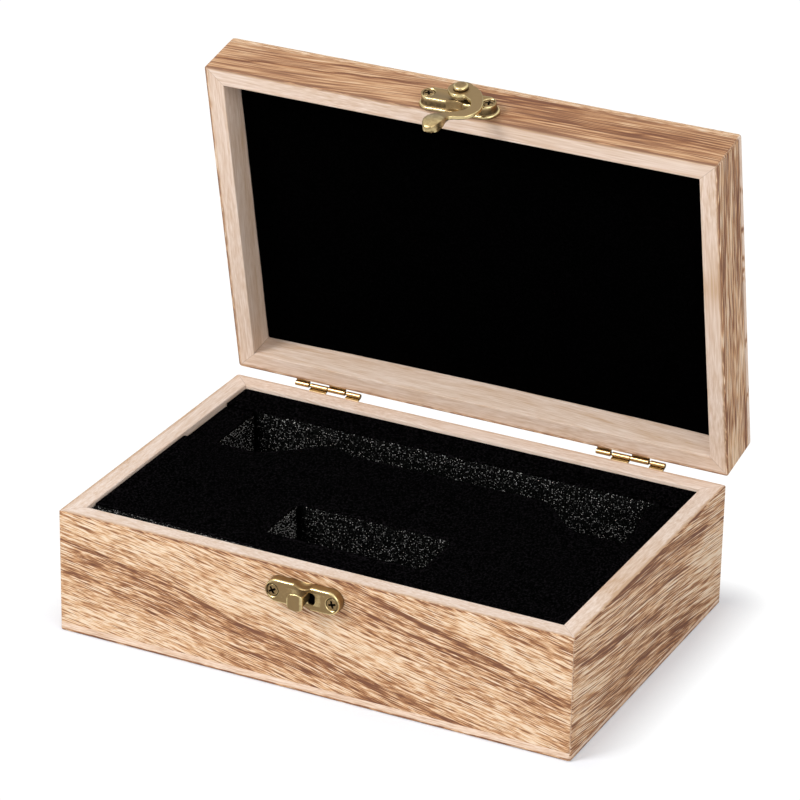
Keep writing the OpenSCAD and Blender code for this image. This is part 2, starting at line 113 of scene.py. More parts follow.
def length(name, description, default, low=0.0, high=1.0):
    """A length property in metres whose default is given in millimetres."""
    return bpy.props.FloatProperty(
        name=name,
        description=description,
        default=default * MM,
        min=low * MM,
        max=high * MM,
        unit="LENGTH",
        precision=5,
    )


def colour(name, description, code):
    """A colour property whose default is an sRGB hex value."""
    return bpy.props.FloatVectorProperty(
        name=name, description=description, default=linear(code), size=4, min=0, max=1, subtype="COLOR"
    )


class WatchBoxSizes(bpy.types.PropertyGroup):
    """Sizes that the CAD source leaves to the dressed model."""

    board_edge: length("Board edge", "Rounding of the boards' sanded edges", 0.45, 0.1, 0.9)
    velvet_edge: length("Velvet edge", "Rounding of the velvet at the pockets", 0.45, 0.1, 0.55)
    velvet_wave: length("Velvet wave", "Height of the soft waves in the velvet", 0.12, 0, 0.4)
    pad_sag: length("Pad sag", "How far the lid pad sinks along its hinge side", 1.4, 0, 3)
    hook_edge: length("Hook edge", "Rounding of the hook's edges", 0.42, 0.1, 0.7)
    knuckle_sheet: length("Knuckle sheet", "Thickness of the rolled hinge knuckles", 0.4, 0.3, 0.5)
    # The foam's bright cells are painted glints
    speck: length("Foam speck", "Distance between the bright cells of the cut foam", 0.46, 0.3, 2)


class WatchBoxColours(bpy.types.PropertyGroup):
    """Colours of the materials."""

    raw_wood: colour("Raw wood", "Sawn paulownia on the rims and inner faces", "#F4E3D7")
    raw_line: colour("Raw wood line", "Growth rings in the raw wood", "#CBA98A")
    torched_pale: colour("Torched pale", "Lightest early wood", "#EAD5BC")
    torched_light: colour("Torched light", "Early wood that the flame only warmed", "#E1BF9A")
    torched_tan: colour("Torched tan", "Torched wood between the dark rings", "#C99B71")
    torched_mid: colour("Torched middle", "Torched wood beside the dark rings", "#A3724D")
    torched_dark: colour("Torched dark", "Scorched late wood", "#774E39")
    pore: colour("Pore", "Scorched pores", "#6E4630")
    velvet: colour("Velvet", "Black velvet", "#010101")
    # The nap colour also paints the highlight on the velvet's cut edges and folds
    velvet_nap: colour("Velvet nap", "Tips of the velvet's pile", "#121012")
    foam: colour("Foam", "Cut black foam", "#020202")
    # Painted glints: the light caught by the cut cell walls, drawn into the foam's colour
    foam_glint: colour("Foam speck", "Bright cell walls of the cut foam", "#DCDAD8")
    patina: colour("Brass patina", "Flat faces of the antique brass", "#957D57")
    # Also the painted highlight on the fittings' edges
    bright: colour("Worn brass", "Polished edges of the antique brass", "#E2CE98")
    # Dirt in the recesses, and also the painted shade in gaps, holes and under parts
    grime_and_shade: colour("Grime", "Recesses of the antique brass", "#1D1710")
    hinge_brass: colour("Hinge brass", "Bright brass of the hinges", "#D8B680")
    floor: colour("Floor", "Studio floor", "#E6E6E8")
    floor_seen: colour("Floor seen", "Studio floor as the camera sees it", "#F1F4FB")


def sizes():
    """The scene's lengths for the dressed model, in metres."""
    return bpy.context.scene.watch_box_sizes


def colours():
    """The scene's colours."""
    return bpy.context.scene.watch_box_colours


# Materials

# Tone of the torched wood between the growth rings, from 0, pale, to 1, scorched
PLAIN_TONE = 0.4


def add(tree, kind, inputs=None, stops=None, **settings):
    """Adds a shader node with its settings; each input takes a value or another node's output."""
    made = tree.nodes.new("ShaderNode" + kind)
    for key, value in settings.items():
        setattr(made, key, value)
    if stops:
        while len(made.color_ramp.elements) < len(stops):
            made.color_ramp.elements.new(1.0)
        for element, (position, shade) in zip(made.color_ramp.elements, stops):
            element.position = position
            element.color = shade
    for key, value in (inputs or {}).items():
        if isinstance(value, bpy.types.Node):
            value = value.outputs[0]
        if isinstance(value, bpy.types.NodeSocket):
            tree.links.new(value, made.inputs[key])
        else:
            made.inputs[key].default_value = value
    return made


def finish(build):
    """The material named after the function that builds it, made when it is first asked for. The
    function adds its nodes to a tree and returns the one that is the surface."""
    material = bpy.data.materials.get(build.__name__)
    if material is None:
        material = bpy.data.materials.new(build.__name__)
        material.use_nodes = True
        material.node_tree.nodes.clear()
        add(material.node_tree, "OutputMaterial", {"Surface": build(material.node_tree)})
    return material


def remap(tree, value, low, high, to_low=0.0, to_high=1.0):
    """Stretches low to high over another range and holds the value at the ends."""
    ends = {"From Min": low, "From Max": high, "To Min": to_low, "To Max": to_high}
    return add(tree, "MapRange", {"Value": value, **ends})


def maths(tree, operation, *values):
    """One sum on numbers or sockets."""
    return add(tree, "Math", dict(enumerate(values)), operation=operation)


def mixed(tree, share, first, second):
    """The first colour where the share is 0 and the second where it is 1."""
    return add(tree, "Mix", {0: share, 6: first, 7: second}, data_type="RGBA").outputs[2]


def point_value(tree, name, output="Fac"):
    """A value that the mesh carries at its points."""
    return add(tree, "Attribute", attribute_name=name).outputs[output]


def lumps(tree, vector, size, detail=2.0, roughness=0.55):
    """Noise whose lumps are about this long, wide and deep, in the vector's own unit."""
    scaled = add(tree, "VectorMath", {0: vector, 1: tuple(1 / s for s in size)}, operation="MULTIPLY")
    return add(tree, "TexNoise", {"Vector": scaled, "Scale": 1.0, "Detail": detail, "Roughness": roughness})


def object_mm(tree):
    """Object coordinates in millimetres."""
    place = add(tree, "TexCoord").outputs["Object"]
    return add(tree, "VectorMath", {0: place, "Scale": 1 / MM}, operation="SCALE")


def sum_of(tree, start, *terms):
    """start + gain * (value - 0.5) for each (value, gain)."""
    total = start
    for value, gain in terms:
        total = maths(tree, "MULTIPLY_ADD", value, gain, maths(tree, "ADD", total, -gain / 2))
    return total


def torched_paulownia(tree):
    """Paulownia, sawn and sanded, the outside brushed with a flame: open pores 3 to 7 mm long that
    scorch darker than the soft early wood between the growth rings, and a dry, nearly matt face."""
    tint = colours()
    grain = point_value(tree, "grain", "Vector")
    char, torch, seam, vary = (point_value(tree, name) for name in ("char", "torch", "seam", "vary"))
    # Mottling 30 mm long, streaks 18 mm long and 1.3 mm wide, fibres 12 mm long and 0.42 mm wide
    soft = lumps(tree, grain, (30, 5, 9))
    streak = lumps(tree, grain, (18, 1.3, 3), 3.0, 0.6)
    fibre = lumps(tree, grain, (12.0, 0.42, 1.6), 2.0, 0.6)
    fleck = lumps(tree, grain, (4.0, 0.38, 1.0), 1.0)
    figured = sum_of(tree, 0.0, (soft, 0.3), (streak, 0.12), (fibre, 2.3), (fleck, 1.8))
    # The rings are bundles of fibres, so they are darkest along the fibres' own dark lines
    bundle = remap(tree, fibre, 0.4, 0.6, 0.55, 1.5)
    ring = maths(tree, "MULTIPLY_ADD", maths(tree, "SUBTRACT", char, PLAIN_TONE), bundle, PLAIN_TONE)
    tone = maths(tree, "MULTIPLY_ADD", figured, vary, ring)
    shades = (
        (0.0, tint.torched_pale), (0.25, tint.torched_light), (0.45, tint.torched_tan),
        (0.7, tint.torched_mid), (1.0, tint.torched_dark),
    )
    torched = add(tree, "ValToRGB", {"Fac": tone}, stops=shades)
    # Pores 3 to 7 mm long lie open and hold the soot
    torched = mixed(tree, remap(tree, fibre, 0.57, 0.66, 0.0, 0.55), torched, tint.pore)
    pale = sum_of(tree, 0.3, (soft, 0.4), (streak, 0.7), (fibre, 1.1), (fleck, 0.6))
    rings = maths(tree, "MULTIPLY_ADD", char, 0.9, pale)
    raw = add(tree, "ValToRGB", {"Fac": rings}, stops=((0.0, tint.raw_wood), (1.0, tint.raw_line)))
    wood = mixed(tree, torch, raw, torched)
    # The glue line of a mitre is about 0.1 mm wide
    wood = mixed(tree, remap(tree, seam, 0.04, 0.14, 0.35, 0.0), wood, tint.torched_dark)
    relief = sum_of(tree, 0.5, (fleck, -0.4), (fibre, -1.0))
    bump = add(tree, "Bump", {"Strength": 0.3, "Distance": 0.12 * MM, "Height": relief})
    rough = remap(tree, streak, 0.0, 1.0, 0.55, 0.75)
    matt = {"Base Color": wood, "Roughness": rough, "Specular IOR Level": 0.25, "Normal": bump}
    return add(tree, "BsdfPrincipled", matt)


def black_velvet(tree):
    """Black flocked velvet: a short dense pile that swallows light and only greys a little at
    grazing angles."""
    # The pile is about 0.1 mm thick; the nap is drawn at 0.7 mm so that it shows at all
    nap = lumps(tree, object_mm(tree), (0.7, 0.7, 0.7), 1.0, 0.6)
    bump = add(tree, "Bump", {"Strength": 0.5, "Distance": 0.1 * MM, "Height": nap})
    # The nap colour is scaled by a value per point that also holds the painted highlight and shade
    tips = maths(tree, "MULTIPLY", remap(tree, nap, 0.5, 0.62), point_value(tree, "pile"))
    skin = mixed(tree, tips, colours().velvet, colours().velvet_nap)
    soft = {"Base Color": skin, "Roughness": 1.0, "Specular IOR Level": 0.0, "Normal": bump}
    return add(tree, "BsdfPrincipled", {**soft, "Sheen Weight": 0.002, "Sheen Roughness": 0.35})


def cut_foam(tree):
    """Black foam cut with a hot wire: closed cells, some of whose walls show as small bright specks, painted
    glints of the light they catch."""
    place = object_mm(tree)
    # Cells are 0.4 to 0.8 mm across, and about one in three shows a painted glint on its wall
    cells = add(tree, "TexVoronoi", {"Vector": place, "Scale": MM / sizes().speck}, voronoi_dimensions="3D")
    core = remap(tree, cells.outputs["Distance"], 0.24, 0.38, 1.0, 0.0)
    pick = add(tree, "SeparateColor", {"Color": cells.outputs["Color"]})
    shine = maths(tree, "POWER", remap(tree, pick, 0.58, 1.0), 1.9)
    dust = lumps(tree, place, (0.35, 0.35, 0.35), 2.0, 0.6)
    haze = remap(tree, dust, 0.52, 0.75, 0.0, 0.03)
    amount = maths(tree, "ADD", maths(tree, "MULTIPLY", core, shine), haze)
    amount = maths(tree, "MULTIPLY", amount, point_value(tree, "spark"))
    skin = mixed(tree, amount, colours().foam, colours().foam_glint)
    bump = add(tree, "Bump", {"Strength": 0.6, "Distance": 0.2 * MM, "Height": cells.outputs["Distance"]})
    return add(
        tree, "BsdfPrincipled",
        {"Base Color": skin, "Roughness": 0.9, "Specular IOR Level": 0.0, "Normal": bump},
    )


def metal_by_wear_and_light(tree, tone, shades, **settings):
    """Metal whose colour follows a tone from -1, dirty and in painted shade, to 1, polished and in painted
    highlight.
    """
    place = maths(tree, "MULTIPLY_ADD", tone, 0.5, 0.5)
    skin = add(tree, "ValToRGB", {"Fac": place}, stops=shades)
    return add(tree, "BsdfPrincipled", {"Base Color": skin, "Metallic": 1.0, **settings})


def antique_brass_plating(tree):
    """Stamped and cast fittings with antique brass plating: an olive grey patina on the flats, polished
    through to yellow on the edges, which also carry painted highlights, and black in the recesses, from dirt
    and painted shade."""
    tint = colours()
    place = object_mm(tree)
    # Cloudy patina in patches of 2 mm, with a fine cast grain of 0.25 mm
    cloud = lumps(tree, place, (2.0, 2.0, 2.0), 3.0, 0.6)
    pit = lumps(tree, place, (0.25, 0.25, 0.25))
    # The points' tone holds polish and dirt together with painted highlight and shade
    tone = sum_of(tree, point_value(tree, "wear"), (cloud, 0.9), (pit, 0.3))
    shades = ((0.08, tint.grime_and_shade), (0.42, tint.patina), (0.62, tint.patina), (0.95, tint.bright))
    rough = remap(tree, tone, -0.4, 1.0, 0.5, 0.24)
    bump = add(tree, "Bump", {"Strength": 0.25, "Distance": 0.04 * MM, "Height": pit})
    return metal_by_wear_and_light(tree, tone, shades, Roughness=rough, Normal=bump)


def bright_brass_plating(tree):
    """Bright brass plated steel: rolled sheet, yellow and fairly glossy, with painted shade in the gaps."""
    tint = colours()
    # Drawing lines run along the hinge, 0.15 mm apart
    lines = lumps(tree, object_mm(tree), (6.0, 0.15, 0.15))
    tone = sum_of(tree, point_value(tree, "wear"), (lines, 0.4))
    shades = ((0.05, tint.grime_and_shade), (0.45, tint.hinge_brass), (1.0, tint.hinge_brass))
    return metal_by_wear_and_light(tree, tone, shades, Roughness=remap(tree, lines, 0.0, 1.0, 0.22, 0.38))


def studio_floor_paper(tree):
    """White floor: near the box it is lit by the lamps and takes the shadow, and further out the
    camera sees the even white of the background."""
    place = add(tree, "TexCoord").outputs["Object"]
    apart = add(tree, "VectorMath", {0: place}, operation="ABSOLUTE")
    half_box = (BOX_W / 2 * MM, BOX_D / 2 * MM, 1.0)
    apart = add(tree, "VectorMath", {0: apart, 1: half_box}, operation="SUBTRACT")
    apart = add(tree, "VectorMath", {0: apart, 1: (0, 0, 0)}, operation="MAXIMUM")
    away = add(tree, "VectorMath", {0: apart}, operation="LENGTH").outputs["Value"]
    # The shadow is kept within 19 mm of the box
    far = remap(tree, away, 2 * MM, 19 * MM)
    paper = add(tree, "BsdfDiffuse", {"Color": colours().floor})
    bright = add(tree, "BsdfDiffuse", {"Color": colours().floor_seen})
    white = add(tree, "Emission", {"Color": (1, 1, 1, 1), "Strength": 1.05})
    near = add(tree, "MixShader", {0: 0.8, 1: white, 2: bright})
    shown = add(tree, "MixShader", {0: far, 1: near, 2: white})
    seen = add(tree, "LightPath").outputs["Is Camera Ray"]
    return add(tree, "MixShader", {0: seen, 1: paper, 2: shown})


# Each CAD material slot and the finish that dresses it
FINISHES = {
    "wood": torched_paulownia,
    "velvet": black_velvet,
    "foam": cut_foam,
    "antique_brass": antique_brass_plating,
    "bright_brass": bright_brass_plating,
}


# Mesh building

# Edges that turn by more than this many degrees are drawn sharp
SHARP = 40


class Shell:
    """Points, faces and point values of one piece, gathered from one closed skin after another."""

    def __init__(self, **defaults):
        self.defaults = defaults
        self.points, self.faces, self.values = [], [], {name: [] for name in defaults}
        self.count = 0

    def loops(self, grid, **values):
        """Adds a stack of closed loops, (rows, columns, 3), and returns its point numbers."""
        grid = np.asarray(grid, float)
        shape = grid.shape[:2]
        for name, default in self.defaults.items():
            value = np.asarray(values.get(name, default), float)
            if value.ndim == 1 and np.ndim(default) == 0:
                value = value[:, None]
            full = np.broadcast_to(value, shape + np.shape(default))
            self.values[name].append(full.reshape(-1, *np.shape(default)))
        self.points.append(grid.reshape(-1, 3))
        numbers = self.count + np.arange(shape[0] * shape[1]).reshape(shape)
        self.count += shape[0] * shape[1]
        return numbers

    def skin(self, index, wrap=False):
        """Quads from each loop to the next, and from the last to the first if wrap."""
        low = index if wrap else index[:-1]
        high = np.roll(index, -1, 0) if wrap else index[1:]
        quads = [low, np.roll(low, -1, 1), np.roll(high, -1, 1), high]
        self.faces.append(np.stack(quads, -1).reshape(-1, 4))

    def cap(self, outer, inner=(), up=True):
        """Flat face in a loop, with other loops cut out. It looks the way the loop turns round."""
        numbers = np.concatenate([outer, *inner])
        place = np.concatenate(self.points)
        rims = [list(map(Vector, place[loop])) for loop in (outer, *inner)]
        triangles = numbers[np.array(tessellate_polygon(rims))]
        a, b, c = (place[triangles[:, k]] for k in range(3))
        own = place[outer]
        turn = np.cross(own, np.roll(own, -1, 0)).sum(0) * (1 if up else -1)
        wrong = np.cross(b - a, c - a) @ turn < 0
        triangles[wrong] = triangles[wrong][:, ::-1]
        self.faces.append(triangles)

    def loft(self, grid, inner=(), wrap=False, **values):
        """Closed skin over a stack of loops, with a flat face at each end. Each (grid, values) in
        inner is a pocket or boss that starts in the last face and ends in its own."""
        first_face = len(self.faces)
        index = self.loops(grid, **values)
        self.skin(index, wrap)
        if not wrap:
            starts = []
            for inner_grid, inner_values in inner:
                inside = self.loops(inner_grid, **inner_values)
                self.skin(inside)
                self.cap(inside[-1])
                starts.append(inside[0])
            self.cap(index[0], up=False)
            self.cap(index[-1], starts)
        place = np.concatenate(self.points)
        volume = 0.0
        for faces in self.faces[first_face:]:
            for k in range(1, faces.shape[1] - 1):
                a, b, c = place[faces[:, 0]], place[faces[:, k]], place[faces[:, k + 1]]
                volume += (np.cross(a, b) * c).sum()
        if volume < 0:
            self.faces[first_face:] = [faces[:, ::-1] for faces in self.faces[first_face:]]

    def publish(self, name, slot, body, node):
        """Writes the mesh in metres, closes its poles, and says what it rides on and stands for."""
        mesh = bpy.data.meshes.new(name)
        faces = [face for group in self.faces for face in group.tolist()]
        mesh.from_pydata(np.concatenate(self.points) * MM, [], faces)
        for key, parts in self.values.items():
            data = np.concatenate(parts)
            kind, field = ("FLOAT_VECTOR", "vector") if data.ndim > 1 else ("FLOAT", "value")
            attribute = mesh.attributes.new(key, kind, "POINT")
            attribute.data.foreach_set(field, data.astype(np.float32).ravel())
        edit = bmesh.new()
        edit.from_mesh(mesh)
        bmesh.ops.remove_doubles(edit, verts=edit.verts, dist=1e-4 * MM)
        edit.to_mesh(mesh)
        edit.free()
        mesh.validate()
        mesh.shade_smooth()
        mesh.set_sharp_from_angle(angle=np.radians(SHARP))
        mesh.materials.append(finish(FINISHES[slot]))
        made = bpy.data.objects.new(name, mesh)
        bpy.context.scene.collection.objects.link(made)
        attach(made, body)
        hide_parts(node)
        return made


def at(x, y, z):
    """One array of points from three arrays that broadcast."""
    return np.stack(np.broadcast_arrays(x, y, z), -1).astype(float)


def open_lid(points):
    """Turns points drawn on the closed lid to where the open lid stands."""
    y, z = points[..., 1] - HINGE_Y, points[..., 2] - HINGE_Z
    c, s = np.cos(LID_OPEN), np.sin(LID_OPEN)
    return at(points[..., 0], HINGE_Y + y * c + z * s, HINGE_Z - y * s + z * c)


def on_front(points, x, z):
    """Puts points drawn flat, face up, on the front of the box: height becomes forward."""
    return at(x + points[..., 0], -BOX_D / 2 - points[..., 2], z + points[..., 1])


def on_back(points, x, z):
    """Puts points drawn flat, face up, on the back of the box."""
    return at(x - points[..., 0], BOX_D / 2 + points[..., 2], z + points[..., 1])


def rounded_polygon(corners, radii, step, arc=6):
    """Closed loop along a polygon: an arc touches both sides at each corner, and the sides between
    them have points about one step apart. The step may differ from side to side."""
    corners = np.asarray(corners, float)
    step = np.broadcast_to(step, len(corners))
    radii = np.broadcast_to(radii, len(corners)).astype(float)
    back, ahead = np.roll(corners, 1, 0) - corners, np.roll(corners, -1, 0) - corners
    back /= np.linalg.norm(back, axis=1)[:, None]
    ahead /= np.linalg.norm(ahead, axis=1)[:, None]
    half = np.arccos(np.clip((back * ahead).sum(1), -1, 1)) / 2
    middle = back + ahead
    middle /= np.linalg.norm(middle, axis=1)[:, None]
    centres = corners + middle * (radii / np.sin(half))[:, None]
    starts = corners + back * (radii / np.tan(half))[:, None]
    ends = corners + ahead * (radii / np.tan(half))[:, None]
    t = np.linspace(0, 1, arc + 1)[:, None]
    parts = []
    for i, following in enumerate(np.roll(np.arange(len(corners)), -1)):
        turn = np.pi - 2 * half[i]
        a, b = starts[i] - centres[i], ends[i] - centres[i]
        parts.append(centres[i] + (np.sin((1 - t) * turn) * a + np.sin(t * turn) * b) / np.sin(turn))
        run = starts[following] - ends[i]
        pieces = max(1, int(np.ceil(np.linalg.norm(run) / step[i])))
        parts.append(ends[i] + run * (np.arange(1, pieces) / pieces)[:, None])
    return np.concatenate(parts)


def inset(loop, distance):
    """A loop that turns to the left, moved inward by a distance along the mean of its normals."""
    ahead = np.roll(loop, -1, 0) - loop
    normal = np.stack([-ahead[:, 1], ahead[:, 0]], 1)
    normal /= np.linalg.norm(normal, axis=1)[:, None]
    before = np.roll(normal, 1, 0)
    share = 1 + (normal * before).sum(1)
    return loop + (normal + before) / share[:, None] * distance


def stack(loop, profile):
    """Loops in space from a plan loop and a profile of (inset, height)."""
    return np.stack([at(*inset(loop, d).T, z) for d, z in profile])


def circles(profile, centre=(0.0, 0.0), count=48):
    """Surface of revolution: circles from a profile of (radius, height)."""
    angle = np.arange(count) / count * TAU
    radius, height = np.array(profile, float).T[:, :, None]
    return at(centre[0] + radius * np.cos(angle), centre[1] + radius * np.sin(angle), height)


def smooth_path(knots, step):
    """Catmull-Rom curve through rows of knots, step of a knot apart: on each span the point is the
    cubic that leaves and arrives along the line between the knots' neighbours."""
    knots = np.asarray(knots, float)
    ends = [2 * knots[:1] - knots[1:2], knots, 2 * knots[-1:] - knots[-2:-1]]
    knots = np.concatenate(ends)
    u = np.arange(0, len(knots) - 3 + 1e-9, step)
    i = np.minimum(u.astype(int), len(knots) - 4)
    t = (u - i)[:, None]
    a, b, c, d = (knots[i + k] for k in range(4))
    return 0.5 * (2 * b + (c - a) * t + (2 * a - 5 * b + 4 * c - d) * t**2 + (3 * b - a - 3 * c + d) * t**3)


def ribbon(centre, side, lift, half_w, half_t, rim, oval=0.0, corner=6):
    """Loops of a strip carried along a path: centre + side * x + lift * z, where (x, z) runs round a
    rectangle with round corners that goes over to an ellipse as oval goes to 1."""
    half_w, half_t, rim, oval = (
        np.broadcast_to(value, len(centre)).astype(float)[:, None] for value in (half_w, half_t, rim, oval)
    )
    rim = np.minimum(rim, np.minimum(half_w, half_t) * 0.98)
    arc = np.linspace(0, np.pi / 2, corner + 1)
    flat = half_w - rim
    guard = np.maximum(flat - 0.12, flat * 0.6)
    quarter_x = np.concatenate([flat + rim * np.cos(arc), guard], 1)
    quarter_z = np.concatenate([half_t - rim + rim * np.sin(arc), half_t + 0 * guard], 1)
    x = np.concatenate([quarter_x, -quarter_x[:, ::-1], -quarter_x, quarter_x[:, ::-1]], 1)
    z = np.concatenate([quarter_z, quarter_z[:, ::-1], -quarter_z, -quarter_z[:, ::-1]], 1)
    angle = np.arctan2(z / half_t, x / half_w)
    x = x + oval * (half_w * np.cos(angle) - x)
    z = z + oval * (half_t * np.sin(angle) - z)
    return (
        centre[:, None, :] + np.asarray(side)[..., None, :] * x[..., None]
        + np.asarray(lift)[..., None, :] * z[..., None]
    )


# Wood

# Length over which a ring fades out at its ends
RING_FADE = 12

# Dark growth rings of each board, seen from outside and measured from its lower left corner:
# (places of the ridge, fade above it, fade below it, darkness). A negative darkness lightens.
FIGURES = {
    "base_front_board": dict(
        tone=0.4,
        flow=[(-5, 0), (40, -5.5), (65, -12.5), (90, -17), (125, -25), (165, -33), (205, -42)],
        rings=[
            ([(-5, 36.6), (20, 33.5), (40, 30.5), (62, 24), (72, 20.5), (88, 18.5), (105, 15), (125, 11),
              (145, 6), (170, 2)], 0.45, 1.8, 0.57),
            ([(-5, 31), (20, 28), (40, 25), (62, 19.5), (88, 15), (105, 11), (125, 7), (150, 2)],
             4.5, 5.5, 0.19),
            ([(112, 48), (130, 43), (145, 38.5), (160, 34.5), (175, 30), (187, 25), (205, 20)],
             0.45, 1.7, 0.62),
            ([(108, 45), (130, 39), (150, 33), (175, 26), (200, 18)], 4, 8, 0.2),
            ([(66, 11.6), (80, 10.4), (95, 8.8), (112, 7.2)], 0.9, 1.2, 0.41),
            ([(114, 5.8), (128, 3.4), (138, 1.2)], 1.3, 1.8, 0.41),
            ([(30, 20.6), (45, 18.4), (62, 16.8)], 1.4, 1.5, 0.35),
            ([(24, 29.5), (40, 27), (52, 24)], 1.2, 1.6, 0.27),
            ([(166, 47.5), (185, 41), (205, 34.5)], 1.4, 3, 0.17),
            ([(-5, 25), (15, 23), (30, 19), (48, 13.5)], 0.4, 0.9, 0.38),
            ([(60, 14.5), (100, 12.5)], 0.6, 0.7, 0.2),
            ([(92, 3.5), (112, 1)], 1, 1, 0.3),
            ([(128, 37), (150, 31), (172, 26)], 0.8, 1.6, 0.2),
            ([(44, 25), (80, 30), (115, 22), (150, 14)], 6, 3.5, -0.17),
            ([(150, 47), (176, 38), (205, 28)], 3, 5, -0.23),
            ([(-5, 10), (30, 7), (70, 2)], 5, 6, -0.1),
            ([(-5, 43), (60, 40)], 4, 5, -0.11),
            ([(160, 10), (205, 4)], 5, 7, -0.12),
        ],
    ),
    "base_right_board": dict(
        tone=0.48,
        vary=1.4,
        stretch=2.4,
        flow=[(-5, 0), (40, -5.5), (90, -11), (140, -17)],
        rings=[
            ([(28, 47.5), (55, 45.3), (72, 43), (90, 41), (122, 38)], 3.2, 2.8, 0.63),
            ([(-5, 37.4), (15, 32), (35, 28.7), (58, 25.6), (80, 22)], 2.0, 1.7, 0.57),
            ([(14, 15), (42, 12)], 1.5, 1.5, 0.41),
            ([(46, 12.4), (72, 9.2)], 1.5, 1.6, 0.57),
            ([(64, 16.4), (84, 13.2)], 1.0, 1.1, 0.48),
            ([(82, 10.6), (104, 4.6)], 1.7, 1.9, 0.57),
            ([(20, 8), (60, 7), (112, 6)], 4.5, 4, 0.2),
            ([(74, 33), (100, 28.5)], 1.2, 1.6, 0.23),
            ([(-5, 43), (28, 39.5)], 3, 3, -0.1),
            ([(96, 31), (140, 24)], 8, 9, -0.36),
            ([(-5, 27), (30, 21)], 3, 4, -0.18),
            ([(112, 12), (140, 8)], 5, 5, -0.2),
        ],
    ),
    "base_back_board": dict(
        tone=0.26,
        flow=[(-5, 0), (60, 6), (120, 9), (205, 24)],
        rings=[
            ([(-5, 8), (40, 13), (90, 19), (140, 24), (205, 38)], 0.6, 2.2, 0.45),
            ([(-5, 20), (50, 26), (110, 32), (160, 41)], 0.6, 3, 0.35),
            ([(60, 3), (120, 9), (205, 22)], 0.7, 2.4, 0.32),
            ([(90, 40), (150, 47)], 2, 3, 0.25),
        ],
    ),
    "base_left_board": dict(
        tone=0.3,
        flow=[(-5, 0), (60, -3), (140, -12)],
        rings=[
            ([(-5, 42), (50, 38), (100, 31), (140, 26)], 0.7, 2.6, 0.45),
            ([(-5, 24), (40, 22), (90, 15), (140, 9)], 0.6, 2.2, 0.42),
            ([(-5, 12), (70, 7)], 1.8, 2, 0.3),
        ],
    ),
    "lid_front_rail": dict(
        tone=0.62,
        vary=0.48,
        spread=1.25,
        torch=0.88,
        stretch=2.6,
        flow=[(-5, -0.6), (50, 3), (100, 7), (130, 9), (205, 9)],
        rings=[
            ([(-5, 6.8), (12, 8.4), (30, 10), (45, 11.3), (65, 13), (84, 16.4)], 0.4, 0.7, 0.62),
            ([(14, 13.4), (35, 15.8), (64, 17.4)], 0.4, 0.8, 0.34),
            ([(90, 13.6), (103, 16.2), (116, 17.6), (146, 16.6)], 1.6, 1.3, 0.55),
            ([(95, 14.9), (107, 17), (118, 17.9), (138, 17.2)], 0.55, 0.5, 1.1),
            ([(106, 13.2), (120, 15.4), (137, 16.5)], 0.35, 0.4, 0.93),
            ([(110, 12), (160, 9.6), (205, 11)], 6, 6, 0.14),
            ([(152, 7.6), (165, 9.8), (178, 10.6)], 0.7, 0.7, 0.53),
            ([(98, 4.6), (125, 6), (150, 8.6), (205, 12.4)], 0.5, 0.7, 0.31),
            ([(-5, 19), (70, 20)], 3, 3, -0.12),
        ],
    ),
    "lid_right_rail": dict(
        tone=0.52,
        vary=1.2,
        stretch=2.0,
        flow=[(-5, 0), (40, -2.6), (90, -4.5), (140, -8)],
        rings=[
            ([(-5, 9.4), (20, 6), (40, 3.2), (64, 0.4)], 1.3, 2.2, 0.55),
            ([(10, 17.4), (40, 15.6), (66, 13.8)], 2.6, 2.2, 0.31),
            ([(98, 18.4), (118, 17.6), (136, 15.6)], 1.1, 1.1, 0.78),
            ([(8, 16), (17, 14)], 0.8, 0.9, 0.47),
            ([(58, 8), (84, 6)], 2.2, 2, 0.26),
            ([(76, 16.5), (102, 14)], 1.8, 2, -0.24),
            ([(110, 9), (140, 5)], 4.5, 5, -0.24),
            ([(-5, 3), (18, 4.5)], 1.6, 2, -0.26),
        ],
    ),
    "lid_back_rail": dict(
        tone=0.3,
        flow=[(-5, 0), (100, 5), (205, 3)],
        rings=[
            ([(-5, 4), (60, 8), (130, 11), (205, 9)], 0.5, 1.8, 0.4),
            ([(20, 13), (90, 16.5), (150, 18)], 0.6, 1.6, 0.3),
        ],
    ),
    "lid_left_rail": dict(
        tone=0.36,
        flow=[(-5, 0), (140, 5)],
        rings=[
            ([(-5, 5), (60, 9), (140, 10)], 0.6, 2, 0.4),
            ([(10, 14), (90, 17)], 0.8, 2, 0.3),
        ],
    ),
    "lid_top_panel": dict(
        tone=0.3,
        flow=[(-5, 0), (60, 8), (110, 13), (160, 9), (205, -2)],
        rings=[
            ([(-5, 14), (50, 22), (110, 29), (160, 25), (205, 13)], 0.8, 4, 0.42),
            ([(-5, 34), (60, 45), (115, 51), (165, 46), (205, 36)], 0.8, 5, 0.46),
            ([(-5, 62), (60, 72), (110, 78), (160, 74), (205, 62)], 0.9, 4, 0.4),
            ([(-5, 88), (60, 97), (110, 103), (160, 99), (205, 88)], 0.9, 5, 0.44),
            ([(-5, 112), (60, 119), (110, 124), (160, 121), (205, 112)], 0.8, 3, 0.36),
            ([(20, 56), (90, 66), (150, 62)], 2.5, 3, 0.2),
        ],
    ),
}


def bend(x, points):
    """Height at x of the line through the points, its corners rounded by a mean over 24 mm."""
    px, pz = np.array(points, float).T
    return sum(np.interp(x + shift, px, pz) for shift in range(-12, 13, 4)) / 7


